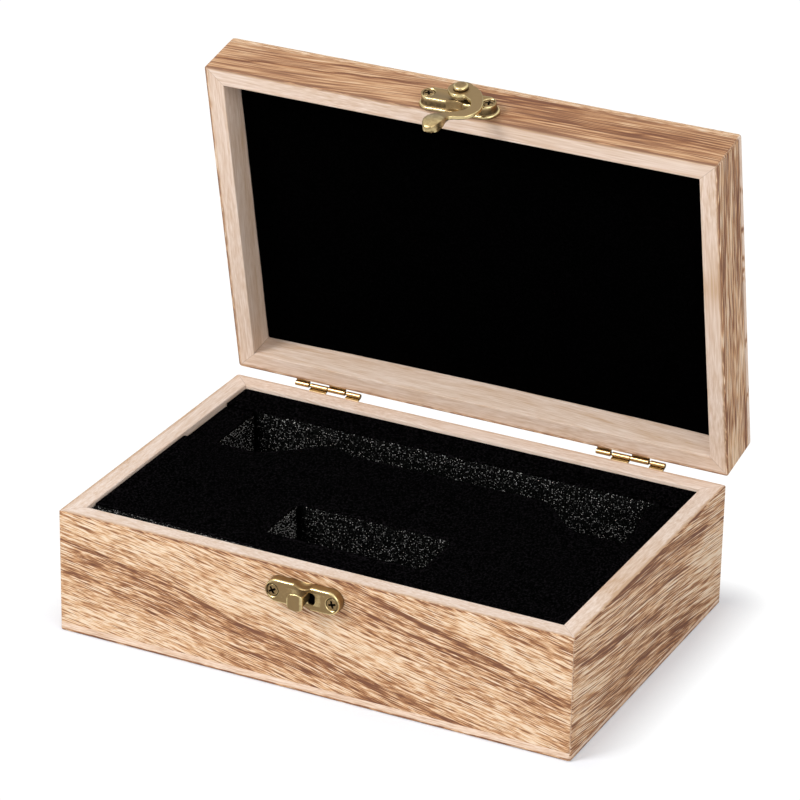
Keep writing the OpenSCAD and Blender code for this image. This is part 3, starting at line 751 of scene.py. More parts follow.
def figure(name, x, z):
    """Darkness of the broad growth rings at (x, z) of a board. Each ring falls off from its ridge
    as a bell whose width differs above and below, and fades out towards its two ends."""
    look = FIGURES[name]
    # The rings wander up and down by 0.75 mm at most
    wavy = z + 0.45 * np.sin(x / 6.1 + z / 9) + 0.3 * np.sin(x / 2.7 + 1.3 + z / 4)
    total = np.full(np.shape(x), look["tone"])
    for ridge, above, below, dark in look["rings"]:
        off = wavy - bend(x, ridge)
        from_start = np.clip((x - ridge[0][0]) / RING_FADE, 0, 1)
        to_end = np.clip((ridge[-1][0] - x) / RING_FADE, 0, 1)
        reach = from_start * to_end
        bell = np.exp(-((off / np.where(off > 0, above, below)) ** 2))
        total = total + dark * bell * reach * reach * (3 - 2 * reach)
    return total


def grain_place(name, x, z, t):
    """Place in the log: along the fibres, across them, and into the board. The fibres follow the
    rings' flow across the board, which is taken off the height, and a board's stretch and spread
    make them longer and wider than the other boards'."""
    shift = 37.0 * sorted(FIGURES).index(name)
    across = z - bend(x, FIGURES[name]["flow"]) + 0.5 * np.sin(x / 17.0)
    across = across / FIGURES[name].get("spread", 1.0)
    return at(x / FIGURES[name].get("stretch", 1.0) + shift * 3, across + shift, t + 0.3 * across)


def wood_shell():
    """Shell whose points carry what the wood's finish reads: place in the log, char, share of the
    flame, distance to a glue line, and contrast."""
    return Shell(grain=(0.0, 0.0, 0.0), char=0.3, torch=0.0, seam=9.0, vary=1.0)


def board(name, side, wall, low, high):
    """One wall of a mitred box: a rectangle with sanded edges in depth t and height z, carried along
    the wall, and shortened by t at both ends. The sides are numbered as in SIDES."""
    edge = sizes().board_edge / MM
    corners = [(0, low), (wall, low), (wall, high), (0, high)]
    section = rounded_polygon(corners, [0.15, 0.15, edge, edge], [1.5, 1.5, 1.5, 0.5], 5)
    t, z = section[None, :, 0], section[None, :, 1]
    half = (BOX_W if side % 2 == 0 else BOX_D) / 2
    # The loops lie close together near the mitre, where the outer corner is rounded
    ends = np.array([0, 0.12, 0.25, 0.4, 0.55, 0.7, 0.85, 1.0, 1.3, 2, 3])
    ends = np.concatenate([ends, np.arange(4.2, half - 0.5, 1.2), [half]])[:, None]
    off_end = t + ends * (half - t) / half
    # Upright outer corner: nested quarter arcs turn the mitre's tip into a rounded one
    nearby = (t < CORNER_ROUND) & (off_end < CORNER_ROUND)
    radius = CORNER_ROUND - t
    angle = np.pi / 4 * (1 - (off_end - t) / np.where(nearby, radius, 1))
    bent_end = np.where(nearby, CORNER_ROUND - radius * np.sin(angle), off_end)
    bent_t = np.where(nearby, CORNER_ROUND - radius * np.cos(angle), t + 0 * off_end)
    # The second half mirrors the first, without its middle loop
    bent_end, bent_t, flat_end = (
        np.concatenate([rows, rows[-2::-1]]) for rows in (bent_end, bent_t, off_end)
    )
    sign = np.where(np.arange(len(bent_end)) < len(ends), -1, 1)[:, None]
    s = sign * (half - bent_end)
    z = z + 0 * s
    placed = (
        at(s, -BOX_D / 2 + bent_t, z), at(BOX_W / 2 - bent_t, s, z),
        at(-s, BOX_D / 2 - bent_t, z), at(-BOX_W / 2 + bent_t, -s, z),
    )[side]
    look = FIGURES[name]
    in_lid = low >= RIM_Z
    x_seen, z_seen = s + half, z - (RIM_Z if in_lid else 0.0)
    char = figure(name, x_seen, z_seen)
    ringed = char - look["tone"]
    # The flame browns the outer arris, so that the raw rim ends in a crisp line
    arris = 0.5 * np.exp(-(((z_seen if in_lid else high - z_seen) / 0.6) ** 2))
    # Inside, the ring's line is thin and faint, and the lid's sides are a shade browner
    inside = ringed * 0.7 + (0.25 if in_lid else 0.1)
    outer = np.clip(1 - (bent_t - 0.1) / 0.35, 0, 1)
    shell = wood_shell()
    shell.loft(
        open_lid(placed) if in_lid else placed,
        grain=grain_place(name, x_seen, z_seen, 2.5 * bent_t),
        char=np.where(outer > 0, char + arris, inside),
        torch=outer * np.clip(look.get("torch", 1.0) + 0.6 * ringed.clip(0), 0, 1),
        seam=(flat_end - np.minimum(t, flat_end)) * np.sqrt(0.5) + 0 * s,
        vary=look.get("vary", 1.0),
    )
    shell.publish(name.replace("base_", "box_") + "_wood", "wood", "lid" if in_lid else "base", name)


def panel_plan(step):
    """Outline of the whole box, its upright corners rounded."""
    w, d = BOX_W / 2, BOX_D / 2
    return rounded_polygon([(-w, -d), (w, -d), (w, d), (-w, d)], CORNER_ROUND, step)


class WATCHBOX_OT_base_boards(bpy.types.Operator):
    """Bottom panel and the four mitred boards of the base"""

    bl_idname = "watchbox.base_boards"
    bl_label = "Base Boards"

    def execute(self, context):
        for side, place in enumerate(SIDES):
            board(f"base_{place}_board", side, BASE_WALL, BOTTOM_T, BASE_H)
        profile = [(0.5, 0.0), (0.25, 0.0), (0.07, 0.08), (0.0, 0.25), (0.0, 0.6), (0.0, 0.95)]
        profile += [(0.0, 1.7), (0.0, 2.0), (0.0, 2.75), (0.07, 2.93), (0.25, BOTTOM_T), (0.5, BOTTOM_T)]
        grid = stack(panel_plan(3.0), profile)
        x, y, z = np.moveaxis(grid, -1, 0)
        flat = np.isin(np.arange(len(grid)), (0, len(grid) - 1))[:, None]
        # Painted shade: the lower edge gets the scorched colour, standing for the shadow where the box meets
        # the floor. The flame scorched the upper half of the right edge
        scorch_and_shade = np.clip((0.95 - z) / 0.35, 0, 1)
        scorch_and_shade += 0.9 * np.clip((z - 1.7) / 0.3, 0, 1) * (x > BOX_W / 2 - 0.3)
        scorch_and_shade = scorch_and_shade * ~flat
        shell = wood_shell()
        shell.loft(
            grid,
            grain=np.where(flat[..., None], at(x, y + 300, z), at(x + y, z + 300, 0.0)),
            char=np.where(flat, 0.1, 0.25) + 0.6 * scorch_and_shade,
            torch=0.3 + 0.7 * scorch_and_shade,
        )
        shell.publish("box_bottom_panel_wood", "wood", "base", "base_bottom_panel")
        return {"FINISHED"}


class WATCHBOX_OT_lid_boards(bpy.types.Operator):
    """Top panel and the four mitred rails of the lid"""

    bl_idname = "watchbox.lid_boards"
    bl_label = "Lid Boards"

    def execute(self, context):
        for side, place in enumerate(SIDES):
            board(f"lid_{place}_rail", side, LID_WALL, RIM_Z, LID_TOP - TOP_T)
        name = "lid_top_panel"
        rows = self.panel()
        x_seen, y_seen = rows[..., 0] + BOX_W / 2, rows[..., 1] + BOX_D / 2
        up = rows[..., 2] - (LID_TOP - TOP_T)
        edge = np.clip((rows[..., 2] - LID_TOP + TOP_ROUND) / (TOP_ROUND * 0.8), 0, 1)
        at_end = np.abs(rows[..., 0]) > BOX_W / 2 - 0.6
        bars = self.end_rings(y_seen, up) * at_end
        flame = np.where(at_end, 0.25, 0.85)
        upright = at(x_seen + y_seen, up, 0)
        shell = wood_shell()
        shell.loft(
            open_lid(rows),
            grain=np.where(edge[..., None] > 0, grain_place(name, x_seen, y_seen, up), upright),
            char=np.where(edge > 0.02, figure(name, x_seen, y_seen), 0.5 * flame) + bars * (1 - edge),
            seam=up * 0.3,
            torch=np.clip(flame + edge + bars, 0, 1),
            vary=0.7,
        )
        shell.publish("lid_top_panel_wood", "wood", "lid", name)
        return {"FINISHED"}

    @staticmethod
    def panel():
        """Loops up the panel's upright edge, round its upper arris and in over its face. There the
        plan shrinks towards its medial line, so that the corners stay whole."""
        plan, low = panel_plan(1.7), LID_TOP - TOP_T
        profile = [(0.35, low), (0.2, low), (0.05, low + 0.06), (0.0, low + 0.2)]
        profile += [(0.0, z) for z in np.linspace(low + 0.5, LID_TOP - TOP_ROUND - 0.1, 4)]
        reach = (BOX_W - BOX_D) / 2
        medial = np.stack([np.clip(plan[:, 0], -reach, reach), 0 * plan[:, 1]], 1)
        arc = np.linspace(0, np.pi / 2, 9)
        face = np.linspace(0.045, 1, 42)
        share = np.concatenate([TOP_ROUND * (1 - np.cos(arc)) / (BOX_D / 2), face])[:, None, None]
        height = np.concatenate([LID_TOP - TOP_ROUND + TOP_ROUND * np.sin(arc), 0 * face + LID_TOP])
        flat = plan * (1 - share) + medial * share
        return np.concatenate([stack(plan, profile), at(flat[..., 0], flat[..., 1], height[:, None])])

    @staticmethod
    def end_rings(y_seen, up):
        """The end grain of the panel's short edges: the rings are cut across and show as dark bars
        at (place, half width, darkness), the back ones leaning the other way."""
        bars = 0.0
        for place, wide, dark in (
            (22.5, 0.6, 0.9), (39, 0.8, 1.0), (51, 0.7, 0.9), (55.8, 0.5, 0.9), (59.6, 0.6, 0.8),
            (84, 1.0, 0.6), (107.5, 1.0, 0.6),
        ):
            slant = (up - TOP_T / 2) * 0.45 * (-3.0 if place > 80 else 1.0)
            bars = bars + 1.5 * dark * np.exp(-(((y_seen - place - slant) / wide) ** 2))
        return bars


# Velvet and foam

FLOOR_FOAM = 12.0
INSERT_Z = BOTTOM_T + FLOOR_FOAM
SOFT_CORNER = 0.8
# Long pocket: its back, the end blocks' width, where their fronts are, and the right one's slant
POCKET_BACK = 43.0
END_W = 12.4
LEFT_EDGE = -INNER_W / 2 + END_W
RIGHT_EDGE = INNER_W / 2 - END_W
LEFT_FRONT = 11.0
RIGHT_FRONT = 8.0
RIGHT_SLANT = 5.0
# Back edge of the front block at its step and from the middle on
WAVE_STEP = 28.0
WAVE_MIDDLE = 25.0
# Small pocket
SMALL_X = (-29.0, 32.0)
SMALL_Y = (-44.0, -19.0)
SMALL_MIDDLE = np.array([sum(SMALL_X) / 2, sum(SMALL_Y) / 2])
SMALL_DEEP = 22.0
# How far each block's velvet lies under the rim
BLOCKS = {"front": 0.8, "back": 1.2, "left": 2.2, "right": 2.2}
# Folds in the velvet: middle (x, y), half length, height and bow
VELVET_FOLDS = ((2, -45.9, 24, 0.3, 0.0016), (4, -51.6, 11, 0.22, 0.004))


def ease(share):
    """Smooth step from 0 to 1."""
    share = np.clip(share, 0, 1)
    return share**2 * (3 - 2 * share)


def wavy_edge(x):
    """Back edge of the front block, which rises from its left end to the step, falls a little to
    the middle and then to its right end."""
    middle = np.interp(x, [-38, -30], [WAVE_STEP, WAVE_MIDDLE])
    left = LEFT_FRONT + (middle - LEFT_FRONT) * ease((x + 65) / 27)
    right = RIGHT_FRONT + (middle - RIGHT_FRONT) * ease((68 - x) / 23)
    return np.where(x < 0, left, right)


def front_outline(bare=False):
    """Plan of the front block, from its front left corner round to the right. Where bare is true
    the velvet's cut at the front left corner is left out."""
    w, d = INNER_W / 2, INNER_D / 2
    x = np.linspace(w - SOFT_CORNER, -w + SOFT_CORNER, 150)
    edge = np.stack([x, wavy_edge(x)], 1)
    start, radii = [(-w, -d)], SOFT_CORNER
    if bare:
        start = [(-w, -d + 5.0), (-w + 70, -d + 2.3), (-w + 150, -d)]
        radii = [SOFT_CORNER, 8, 8, SOFT_CORNER, SOFT_CORNER, SOFT_CORNER]
    loop = rounded_polygon([*start, (w, -d), (w, RIGHT_FRONT), (-w, LEFT_FRONT)], radii, 1.5)
    keep = loop[:, 1] < np.interp(loop[:, 0], [-w, w], [LEFT_FRONT, RIGHT_FRONT]) - 0.05
    first = np.argmax(keep & ~np.roll(keep, 1))
    loop = np.roll(loop, -first, 0)[: keep.sum()]
    return np.concatenate([loop, edge])


def small_outline(angle, grow=0.0):
    """Rim of the small pocket at each angle round its middle."""
    (left, right), (front, back) = SMALL_X, SMALL_Y
    corners = [(left, front), (right, front), (right, back), (left, back)]
    loop = rounded_polygon(corners, 2.0, 0.3) - SMALL_MIDDLE
    loop = inset(loop, -grow) if grow else loop
    polar = np.arctan2(loop[:, 1], loop[:, 0])
    order = np.argsort(polar)
    radius = np.interp(angle, polar[order], np.linalg.norm(loop, axis=1)[order], period=TAU)
    return SMALL_MIDDLE + radius[:, None] * np.stack([np.cos(angle), np.sin(angle)], 1)


def ripple(x, y, seed):
    """Soft waves of 23 to 60 mm, between about -1 and 1."""
    return (
        np.sin(x / 9.5 + seed) * np.cos(y / 7.3 - seed) * 0.5
        + np.sin((x + y) / 5.1 + 2 * seed) * 0.2 + np.cos((x - 2 * y) / 3.7 + seed) * 0.15
    )


def pocket_shade(grid, top, corners):
    """How much painted glint the cut foam shows: more along its top edge, a painted highlight, none behind
    the end blocks, and none in a strip of painted shade along each upright corner (x, y, width of the strip)."""
    x, y, z = np.moveaxis(grid, -1, 0)
    behind_ends = (y >= POCKET_BACK - 0.5) & ((x <= LEFT_EDGE - 0.5) | (x >= RIGHT_EDGE + 4))
    spark = np.where(z > top - 0.9, 1.7, 1.0) * ~behind_ends
    for cx, cy, reach in corners:
        near = np.hypot(x - cx, y - cy)
        spark = spark * np.clip((near - reach * 0.5) / reach, 0, 1)
    return spark


def publish_foam(shell, name, body, node):
    """Writes a piece of foam in place of its node."""
    shell.publish(name, "foam", body, node)


def foam_block(name, node, plan, top, low=INSERT_Z, corners=(), spark=1.0):
    """Foam block with upright sides over a plan."""
    shell = Shell(spark=0.0)
    profile = [(0.4, low), (0.15, low), (0.0, low + 0.3)]
    profile += [(0.0, z) for z in np.linspace(low + 2, top - 0.5, 12)]
    grid = stack(plan, profile + [(0.1, top - 0.1), (0.3, top), (0.7, top)])
    shell.loft(grid, spark=pocket_shade(grid, top, corners) * spark)
    publish_foam(shell, name, "base", node)


def velvet_facing(place, plan, medial, drop, seed, flat, area=None):
    """Velvet sheet on a block: its edge rolls over, and its face waves softly between the edge and
    the plan's medial line."""
    top = BASE_H - drop
    low = top - VELVET_T
    edge = sizes().velvet_edge / MM
    profile = [(0.3, low), (0.06, low), (0.0, low + 0.1), (0.0, top - edge)]
    rows = stack(plan, profile + [(edge * 0.3, top - edge * 0.3), (edge, top)])
    share = np.linspace(0, 0.93, 14)[1:, None, None]
    face = inset(plan, edge) * (1 - share) + medial * share
    x, y = face[..., 0], face[..., 1]
    wave = (ripple(x, y, seed) - 0.4) * np.clip(share[..., 0] * 5, 0, 1) * sizes().velvet_wave / MM
    shell = Shell(pile=1.0)
    shell.loft(np.concatenate([rows, at(x, y, top + wave)]))
    node = f"insert_{place}_velvet"
    made = shell.publish(node + "_cloth", "velvet", "base", node)


def rectangle(x0, x1, y0, y1, step=1.5):
    """A rounded rectangle and, for each of its points, the nearest one on its medial line."""
    plan = rounded_polygon([(x0, y0), (x1, y0), (x1, y1), (x0, y1)], SOFT_CORNER, step)
    reach = min(x1 - x0, y1 - y0) / 2
    x, y = plan.T
    medial = np.stack([np.clip(x, x0 + reach, x1 - reach), np.clip(y, y0 + reach, y1 - reach)], 1)
    return plan, medial


def back_plan():
    """The back bar, behind the long pocket."""
    return rectangle(-INNER_W / 2, INNER_W / 2, POCKET_BACK, INNER_D / 2)


def left_plan():
    """The left end block, between the front block and the back bar."""
    return rectangle(-INNER_W / 2, LEFT_EDGE, LEFT_FRONT, POCKET_BACK)


def right_plan():
    """The right end block, whose side along the pocket slants."""
    w = INNER_W / 2
    front = [(RIGHT_EDGE + RIGHT_SLANT, RIGHT_FRONT), (w, RIGHT_FRONT)]
    corners = [*front, (w, POCKET_BACK), (RIGHT_EDGE, POCKET_BACK)]
    plan = rounded_polygon(corners, SOFT_CORNER, 1.5)
    medial = np.stack([0 * plan[:, 0] + w - 4.6, np.clip(plan[:, 1], RIGHT_FRONT + 5, POCKET_BACK - 6)], 1)
    return plan, medial


class WATCHBOX_OT_insert_foam(bpy.types.Operator):
    """Cut foam of the insert: floor, front block with its pocket, back bar and end blocks"""

    bl_idname = "watchbox.insert_foam"
    bl_label = "Insert Foam"

    def execute(self, context):
        tops = {block: BASE_H - drop - VELVET_T for block, drop in BLOCKS.items()}
        whole, _ = rectangle(-INNER_W / 2, INNER_W / 2, -INNER_D / 2, INNER_D / 2, 4)
        corner = (LEFT_EDGE, POCKET_BACK)
        # The floor foam at the bottom of the pockets shows a quarter of the glints
        foam_block("insert_floor_foam", "insert_floor", whole, INSERT_Z, BOTTOM_T, spark=0.25)
        plan = back_plan()[0]
        # Painted shade: the glints fade out in a strip along the upright corner where the left block meets
        # the back bar
        foam_block("insert_back_foam", "insert_back_bar", plan, tops["back"], corners=[(*corner, 2.0)])
        # Painted light and shade: the left block's end wall faces the fill lamp, so its glints are doubled,
        # and they fade out along its corner with the back bar
        foam_block(
            "insert_left_foam", "insert_left_block", left_plan()[0], tops["left"],
            corners=[(*corner, 1.8)], spark=2.0,
        )
        foam_block("insert_right_foam", "insert_right_block", right_plan()[0], tops["right"])
        self.front(tops["front"])
        return {"FINISHED"}

    @staticmethod
    def front(top):
        """Front block: up the outside, over the top, and down into the small pocket."""
        outer = front_outline()
        angle = np.arctan2(*(outer - SMALL_MIDDLE).T[::-1])
        rim = small_outline(angle)
        rows = [at(*outer.T, z) for z in np.linspace(INSERT_Z, top - 0.3, 8)]
        rows += [at(*inset(outer, 0.3).T, top)]
        rows += [at(*(outer * (1 - share) + rim * share).T, top) for share in (0.05, 0.3, 0.9, 0.985)]
        floor = BASE_H - BLOCKS["front"] - SMALL_DEEP
        rows += [at(*rim.T, z) for z in np.linspace(top - 0.3, floor, 18)]
        grid = np.stack(rows)
        # Painted shade: the glints fade out along the pocket's back left corner
        spark = pocket_shade(grid, top, [(SMALL_X[0] + 0.6, SMALL_Y[1] - 0.6, 1.7)])
        # Painted light: the pocket's left wall faces the fill lamp, so its glints are doubled
        spark *= np.where(np.abs(grid[..., 0] - SMALL_X[0] + 0.25) < 0.75, 2.0, 1.0)
        shell = Shell(spark=0.0)
        shell.loft(grid, spark=spark)
        publish_foam(shell, "insert_front_foam", "base", "insert_front_block")


class WATCHBOX_OT_insert_velvet(bpy.types.Operator):
    """Velvet facings of the insert"""

    bl_idname = "watchbox.insert_velvet"
    bl_label = "Insert Velvet"

    def execute(self, context):
        bar = (INNER_W * MM, (INNER_D / 2 - POCKET_BACK) * MM)
        velvet_facing("back", *back_plan(), BLOCKS["back"], 1.0, bar)
        left = (END_W * MM, (POCKET_BACK - LEFT_FRONT) * MM)
        velvet_facing("left", *left_plan(), BLOCKS["left"], 2.0, left)
        right = (END_W * MM, (POCKET_BACK - RIGHT_FRONT) * MM)
        slanting = (END_W - RIGHT_SLANT / 2) * MM * right[1]
        velvet_facing("right", *right_plan(), BLOCKS["right"], 3.0, right, slanting)
        self.front(BASE_H - BLOCKS["front"])
        return {"FINISHED"}

    @staticmethod
    def front(top):
        """Front facing: a ring of loops from the outer edge to the small pocket's rim and back
        underneath. Two folds run in front of the pocket, and the face waves softly."""
        outer = front_outline(bare=True)
        angle = np.arctan2(*(outer - SMALL_MIDDLE).T[::-1])
        edge = sizes().velvet_edge / MM
        low = top - VELVET_T
        rim, wide = small_outline(angle), small_outline(angle, edge)
        rows = [
            at(*inset(outer, 0.06).T, low), at(*outer.T, low + 0.1), at(*outer.T, top - edge),
            at(*inset(outer, edge * 0.3).T, top - edge * 0.3),
        ]
        rolled = len(rows)
        share = np.linspace(0, 1, 30)[:, None, None]
        face = inset(outer, edge) * (1 - share) + wide * share
        x, y = face[..., 0], face[..., 1]
        away = np.clip(np.minimum(share[..., 0], 1 - share[..., 0]) * 8, 0, 1)
        wave = (ripple(x, y, 0.0) - 0.4) * sizes().velvet_wave / MM
        fold = 0.0
        for fx, fy, reach, high, bow in VELVET_FOLDS:
            across = y - fy - bow * (x - fx) ** 2
            fold = fold + high * np.exp(-((across / 0.7) ** 2) - ((x - fx) / reach) ** 4)
        rows += list(at(x, y, top + wave * away + fold * np.minimum(away * 4, 1)))
        between = (rim + wide) / 2 + (rim - wide) * 0.2
        rows += [at(*between.T, top - edge * 0.3), at(*rim.T, top - edge), at(*rim.T, low)]
        # Painted highlight: the nap colour is tripled along the cut edges and raised further on the folds,
        # where the light catches the cloth
        pile = np.ones((len(rows), len(outer)))
        pile[: rolled + 1] = pile[-4:] = 3.0
        pile[rolled : rolled + len(share)] += 8 * fold
        shell = Shell(pile=1.0)
        shell.loft(np.stack(rows), wrap=True, pile=pile)
        made = shell.publish("insert_front_velvet_cloth", "velvet", "base", "insert_front_velvet")


class WATCHBOX_OT_lid_pad(bpy.types.Operator):
    """Foam pad in the lid and the velvet stretched over it"""

    bl_idname = "watchbox.lid_pad"
    bl_label = "Lid Pad"

    def execute(self, context):
        w, d = LID_INNER_W / 2, LID_INNER_D / 2
        plan, medial = rectangle(-w, w, -d, d, 2.0)
        edge = sizes().velvet_edge / MM
        share = np.linspace(1, 0, 30)[:, None, None]
        face = inset(plan, edge) * (1 - share) + medial * share
        shoulder = inset(plan, edge * 0.3)

        def sunk(loops, height, seen=None):
            """Loops at a height, moved as the pad sinks there, or where they are seen from: along
            the hinge side, and most in its middle."""
            x, y = np.moveaxis(loops if seen is None else seen, -1, 0)
            deep = np.clip(1 - (x / w) ** 2, 0, 1) * np.exp(-(((d - y) / 14) ** 2))
            sag = deep * sizes().pad_sag / MM + 0.15 * (ripple(x, y, 4.0) + 0.6)
            return at(loops[..., 0], loops[..., 1], height + sag)

        def rolled(low):
            """The pad's edge, from its face over the shoulder to its side."""
            return [sunk(shoulder, low + edge * 0.3, plan), sunk(plan, low + edge)]

        # The sheet is as thick as its node; its back follows its face
        low = RIM_Z + PAD_DEEP
        back = list(sunk(face, low + VELVET_T))[::-1]
        rows = [*sunk(face, low), *rolled(low), sunk(plan, low + VELVET_T), *back]
        # Painted shade: the lid's velvet faces away from the lamps, so it gets a tenth of the nap colour
        shell = Shell(pile=0.1)
        shell.loft(open_lid(np.stack(rows)))
        made = shell.publish("lid_pad_velvet_cloth", "velvet", "lid", "lid_pad_velvet")
        low += VELVET_T + 0.02
        high = LID_TOP - TOP_T
        rows = [*sunk(face, low)[:-1], sunk(inset(plan, edge), low, plan), *rolled(low)]
        rows += [at(*plan.T, high), at(*inset(plan, 0.3).T, high)]
        shell = Shell(spark=0.0)
        shell.loft(open_lid(np.stack(rows)))
        publish_foam(shell, "lid_pad_filling", "lid", "lid_pad_foam")
        return {"FINISHED"}


# Brass fittings

# Plates: middle, length and height, and how far the face stands off the board
LATCH_X, LATCH_UP, LATCH_LONG, LATCH_TALL, LATCH_DEEP = 0.1, 4.9, 30.4, 9.8, 4.5
CATCH_X, CATCH_DOWN, CATCH_LONG, CATCH_TALL, CATCH_DEEP = -0.9, 8.1, 29.2, 9.0, 3.7
# The latch plate sits 1.7 degrees askew and half a millimetre low
LATCH_ASKEW, LATCH_LOW = 0.03, 0.5
# Notches in the plates' long sides
NOTCH_R, NOTCH_DEEP = 5.0, 1.1
SHEET_T = 0.8
TAB_Z = 8.225
SCREW_DX = 11.6
SINK_R = 2.4
PLATE_SCREW_R, PLATE_SCREW_LONG = 2.1, 4.6
# Hook
PIVOT = (LATCH_X + 0.4, LATCH_UP + 0.9)
HOOK_LOW, HOOK_FACE = 6.0, 7.5
RING_BORE, RING_RIM = 1.56, 4.7
# Hinges: four knuckles with a wide gap on each side and a narrow one in the middle. The inner two
# are drawn longer than the CAD's, up to a joint of 0.75 mm
HINGE_X = (-62.6, 61.4)
AXIS_BACK = HINGE_Y - BOX_D / 2
KNUCKLE, WIDE_GAP, NARROW_GAP, JOINT_GAP = 5.7, 2.1, 0.3, 0.75
HINGE_LEN = 4 * KNUCKLE + 2 * WIDE_GAP + NARROW_GAP
OUTER_X, INNER_X = (HINGE_LEN - KNUCKLE) / 2, (KNUCKLE + NARROW_GAP) / 2
KNUCKLES = {"base": (OUTER_X, -INNER_X), "lid": (INNER_X, -OUTER_X)}
PIN_R = 0.55
LEAF_T = 0.8
LEAF_SCREW_R, LEAF_SCREW_LONG = 1.7, 4.9
LEAF_SCREW_DX = HINGE_LEN / 2 - 4.5
LEAF_SCREW_Z = 5.6


def plate_loops(long, tall, rows, count=360):
    """Loops of a stamped plate: a stadium's medial line plus its normal times the half height, less a round
    notch in each long side. Each row is (half height, height, share of notch, tone of polish, dirt and
    painted light)."""
    straight, arc = long - tall, np.pi * tall / 2
    breaks = np.cumsum([0, straight, arc, straight, arc])
    s = np.arange(count) / count * breaks[-1]
    reach = straight / 2
    mx = np.interp(s, breaks, [-reach, reach, reach, -reach, -reach])
    angle = np.radians(np.interp(s, breaks, [-90, -90, 90, 90, 270]))
    nx, ny = np.cos(angle), np.sin(angle)
    inside = np.sqrt(np.maximum(NOTCH_R**2 - mx**2, 0)) - (NOTCH_R - NOTCH_DEEP)
    notch = np.maximum(inside, 0) * np.abs(ny)
    # A running mean softens the notch's corners
    notch = sum(weight / 9 * np.roll(notch, k) for k, weight in zip(range(-2, 3), (1, 2, 3, 2, 1)))
    half, z, share, _ = np.array(rows, float).T[:, :, None]
    reach_out = half - share * notch
    return at(mx + nx * reach_out, ny * reach_out, z)


def sink(x, face):
    """Round recess for a screw head, with a lip light from polish and painted highlight, and painted shade
    down in the recess.
    """
    profile = [
        (SINK_R + 0.3, face), (SINK_R + 0.22, face - 0.04), (SINK_R, face - 0.3), (SINK_R - 0.1, face - 0.42),
        (SINK_R - 0.12, face - 1.0),
    ]
    return circles(profile, (x, 0.0), 64), dict(wear=[0.1, 0.8, 0.3, -0.8, -1.0])


def stamped_plate(shell, place, long, tall, rows, face, inner=()):
    """Plate over its rows, with two screw recesses and the given pockets in its face."""
    grid = plate_loops(long, tall, rows)
    # The notches are out of the way of hands, so their edges stay dull
    # Near the notches each row keeps a tenth of its tone, so the edges there get no polish or painted
    # highlight and the wall less painted shade
    wear = np.array(rows, float)[:, 3:4] * np.where(np.abs(grid[0, :, 0]) < 3.4, 0.1, 1.0)
    inner = [*inner, sink(-SCREW_DX, face), sink(SCREW_DX, face)]
    shell.loft(place(grid), [(place(loops), values) for loops, values in inner], wear=wear)


def on_latch(points):
    """Puts points on the lid's front. The plate is screwed on askew and a little low."""
    c, s = np.cos(LATCH_ASKEW), np.sin(LATCH_ASKEW)
    x, y, z = np.moveaxis(points, -1, 0)
    turned = at(c * x - s * y, s * x + c * y, z)
    return open_lid(on_front(turned, LATCH_X, RIM_Z + LATCH_UP - LATCH_LOW))


def on_catch(points):
    """Puts points on the front of the base, round the middle of the catch plate."""
    return on_front(points, CATCH_X, BASE_H - CATCH_DOWN)


def on_pivot(points):
    """Puts points on the lid's front, round the hook's pivot."""
    return open_lid(on_front(points, PIVOT[0], RIM_Z + PIVOT[1]))


class WATCHBOX_OT_latch_plate(bpy.types.Operator):
    """Stamped plate on the lid with the boss that carries the hook"""

    bl_idname = "watchbox.latch_plate"
    bl_label = "Latch Plate"

    def execute(self, context):
        deep = LATCH_DEEP
        # Painted shade on the foot where it meets the board and down the wall; the foot's rim and the face's
        # edge are light with polish and painted highlight
        rows = [
            (4.7, 0.0, 0, -0.8), (4.88, 0.15, 0, -0.3), (4.9, 0.4, 0, 0.3), (4.88, 0.75, 0, 0.7),
            (4.78, 1.0, 0, 1.0), (4.6, 1.16, 0, 1.0), (4.4, 1.2, 0.1, 0.7), (4.22, 1.22, 0.4, 0.0),
            (4.08, 1.35, 0.8, -0.4), (3.98, 1.7, 0.95, -0.6), (3.92, 2.3, 1, -0.5), (3.9, 3.1, 1, -0.4),
            (3.9, 3.8, 1, 0.4), (3.88, 4.1, 1, 0.9), (3.82, 4.3, 1, 1.0), (3.7, 4.43, 1, 1.0),
            (3.52, 4.49, 1, 0.8), (3.3, deep, 1, 0.3), (3.15, deep, 1, 0.1),
        ]
        boss = [
            (3.75, deep), (3.6, 4.52), (3.47, 4.6), (3.4, 4.8), (3.4, 5.6), (3.32, 5.8), (3.15, 5.9),
            (2.9, 5.9),
        ]
        shell = Shell(wear=0.0)
        stamped_plate(shell, on_latch, LATCH_LONG, LATCH_TALL, rows, deep)
        # The boss is dark at its foot under the ring, painted shade, and light on its upper edge from polish
        # and painted highlight
        shell.loft(on_pivot(circles(boss, count=72)), wear=[-0.6, -0.5, -0.2, 0.1, 0.3, 0.8, 0.8, 0.3])
        shell.publish("latch_plate_brass", "antique_brass", "lid", "latch_plate")
        return {"FINISHED"}


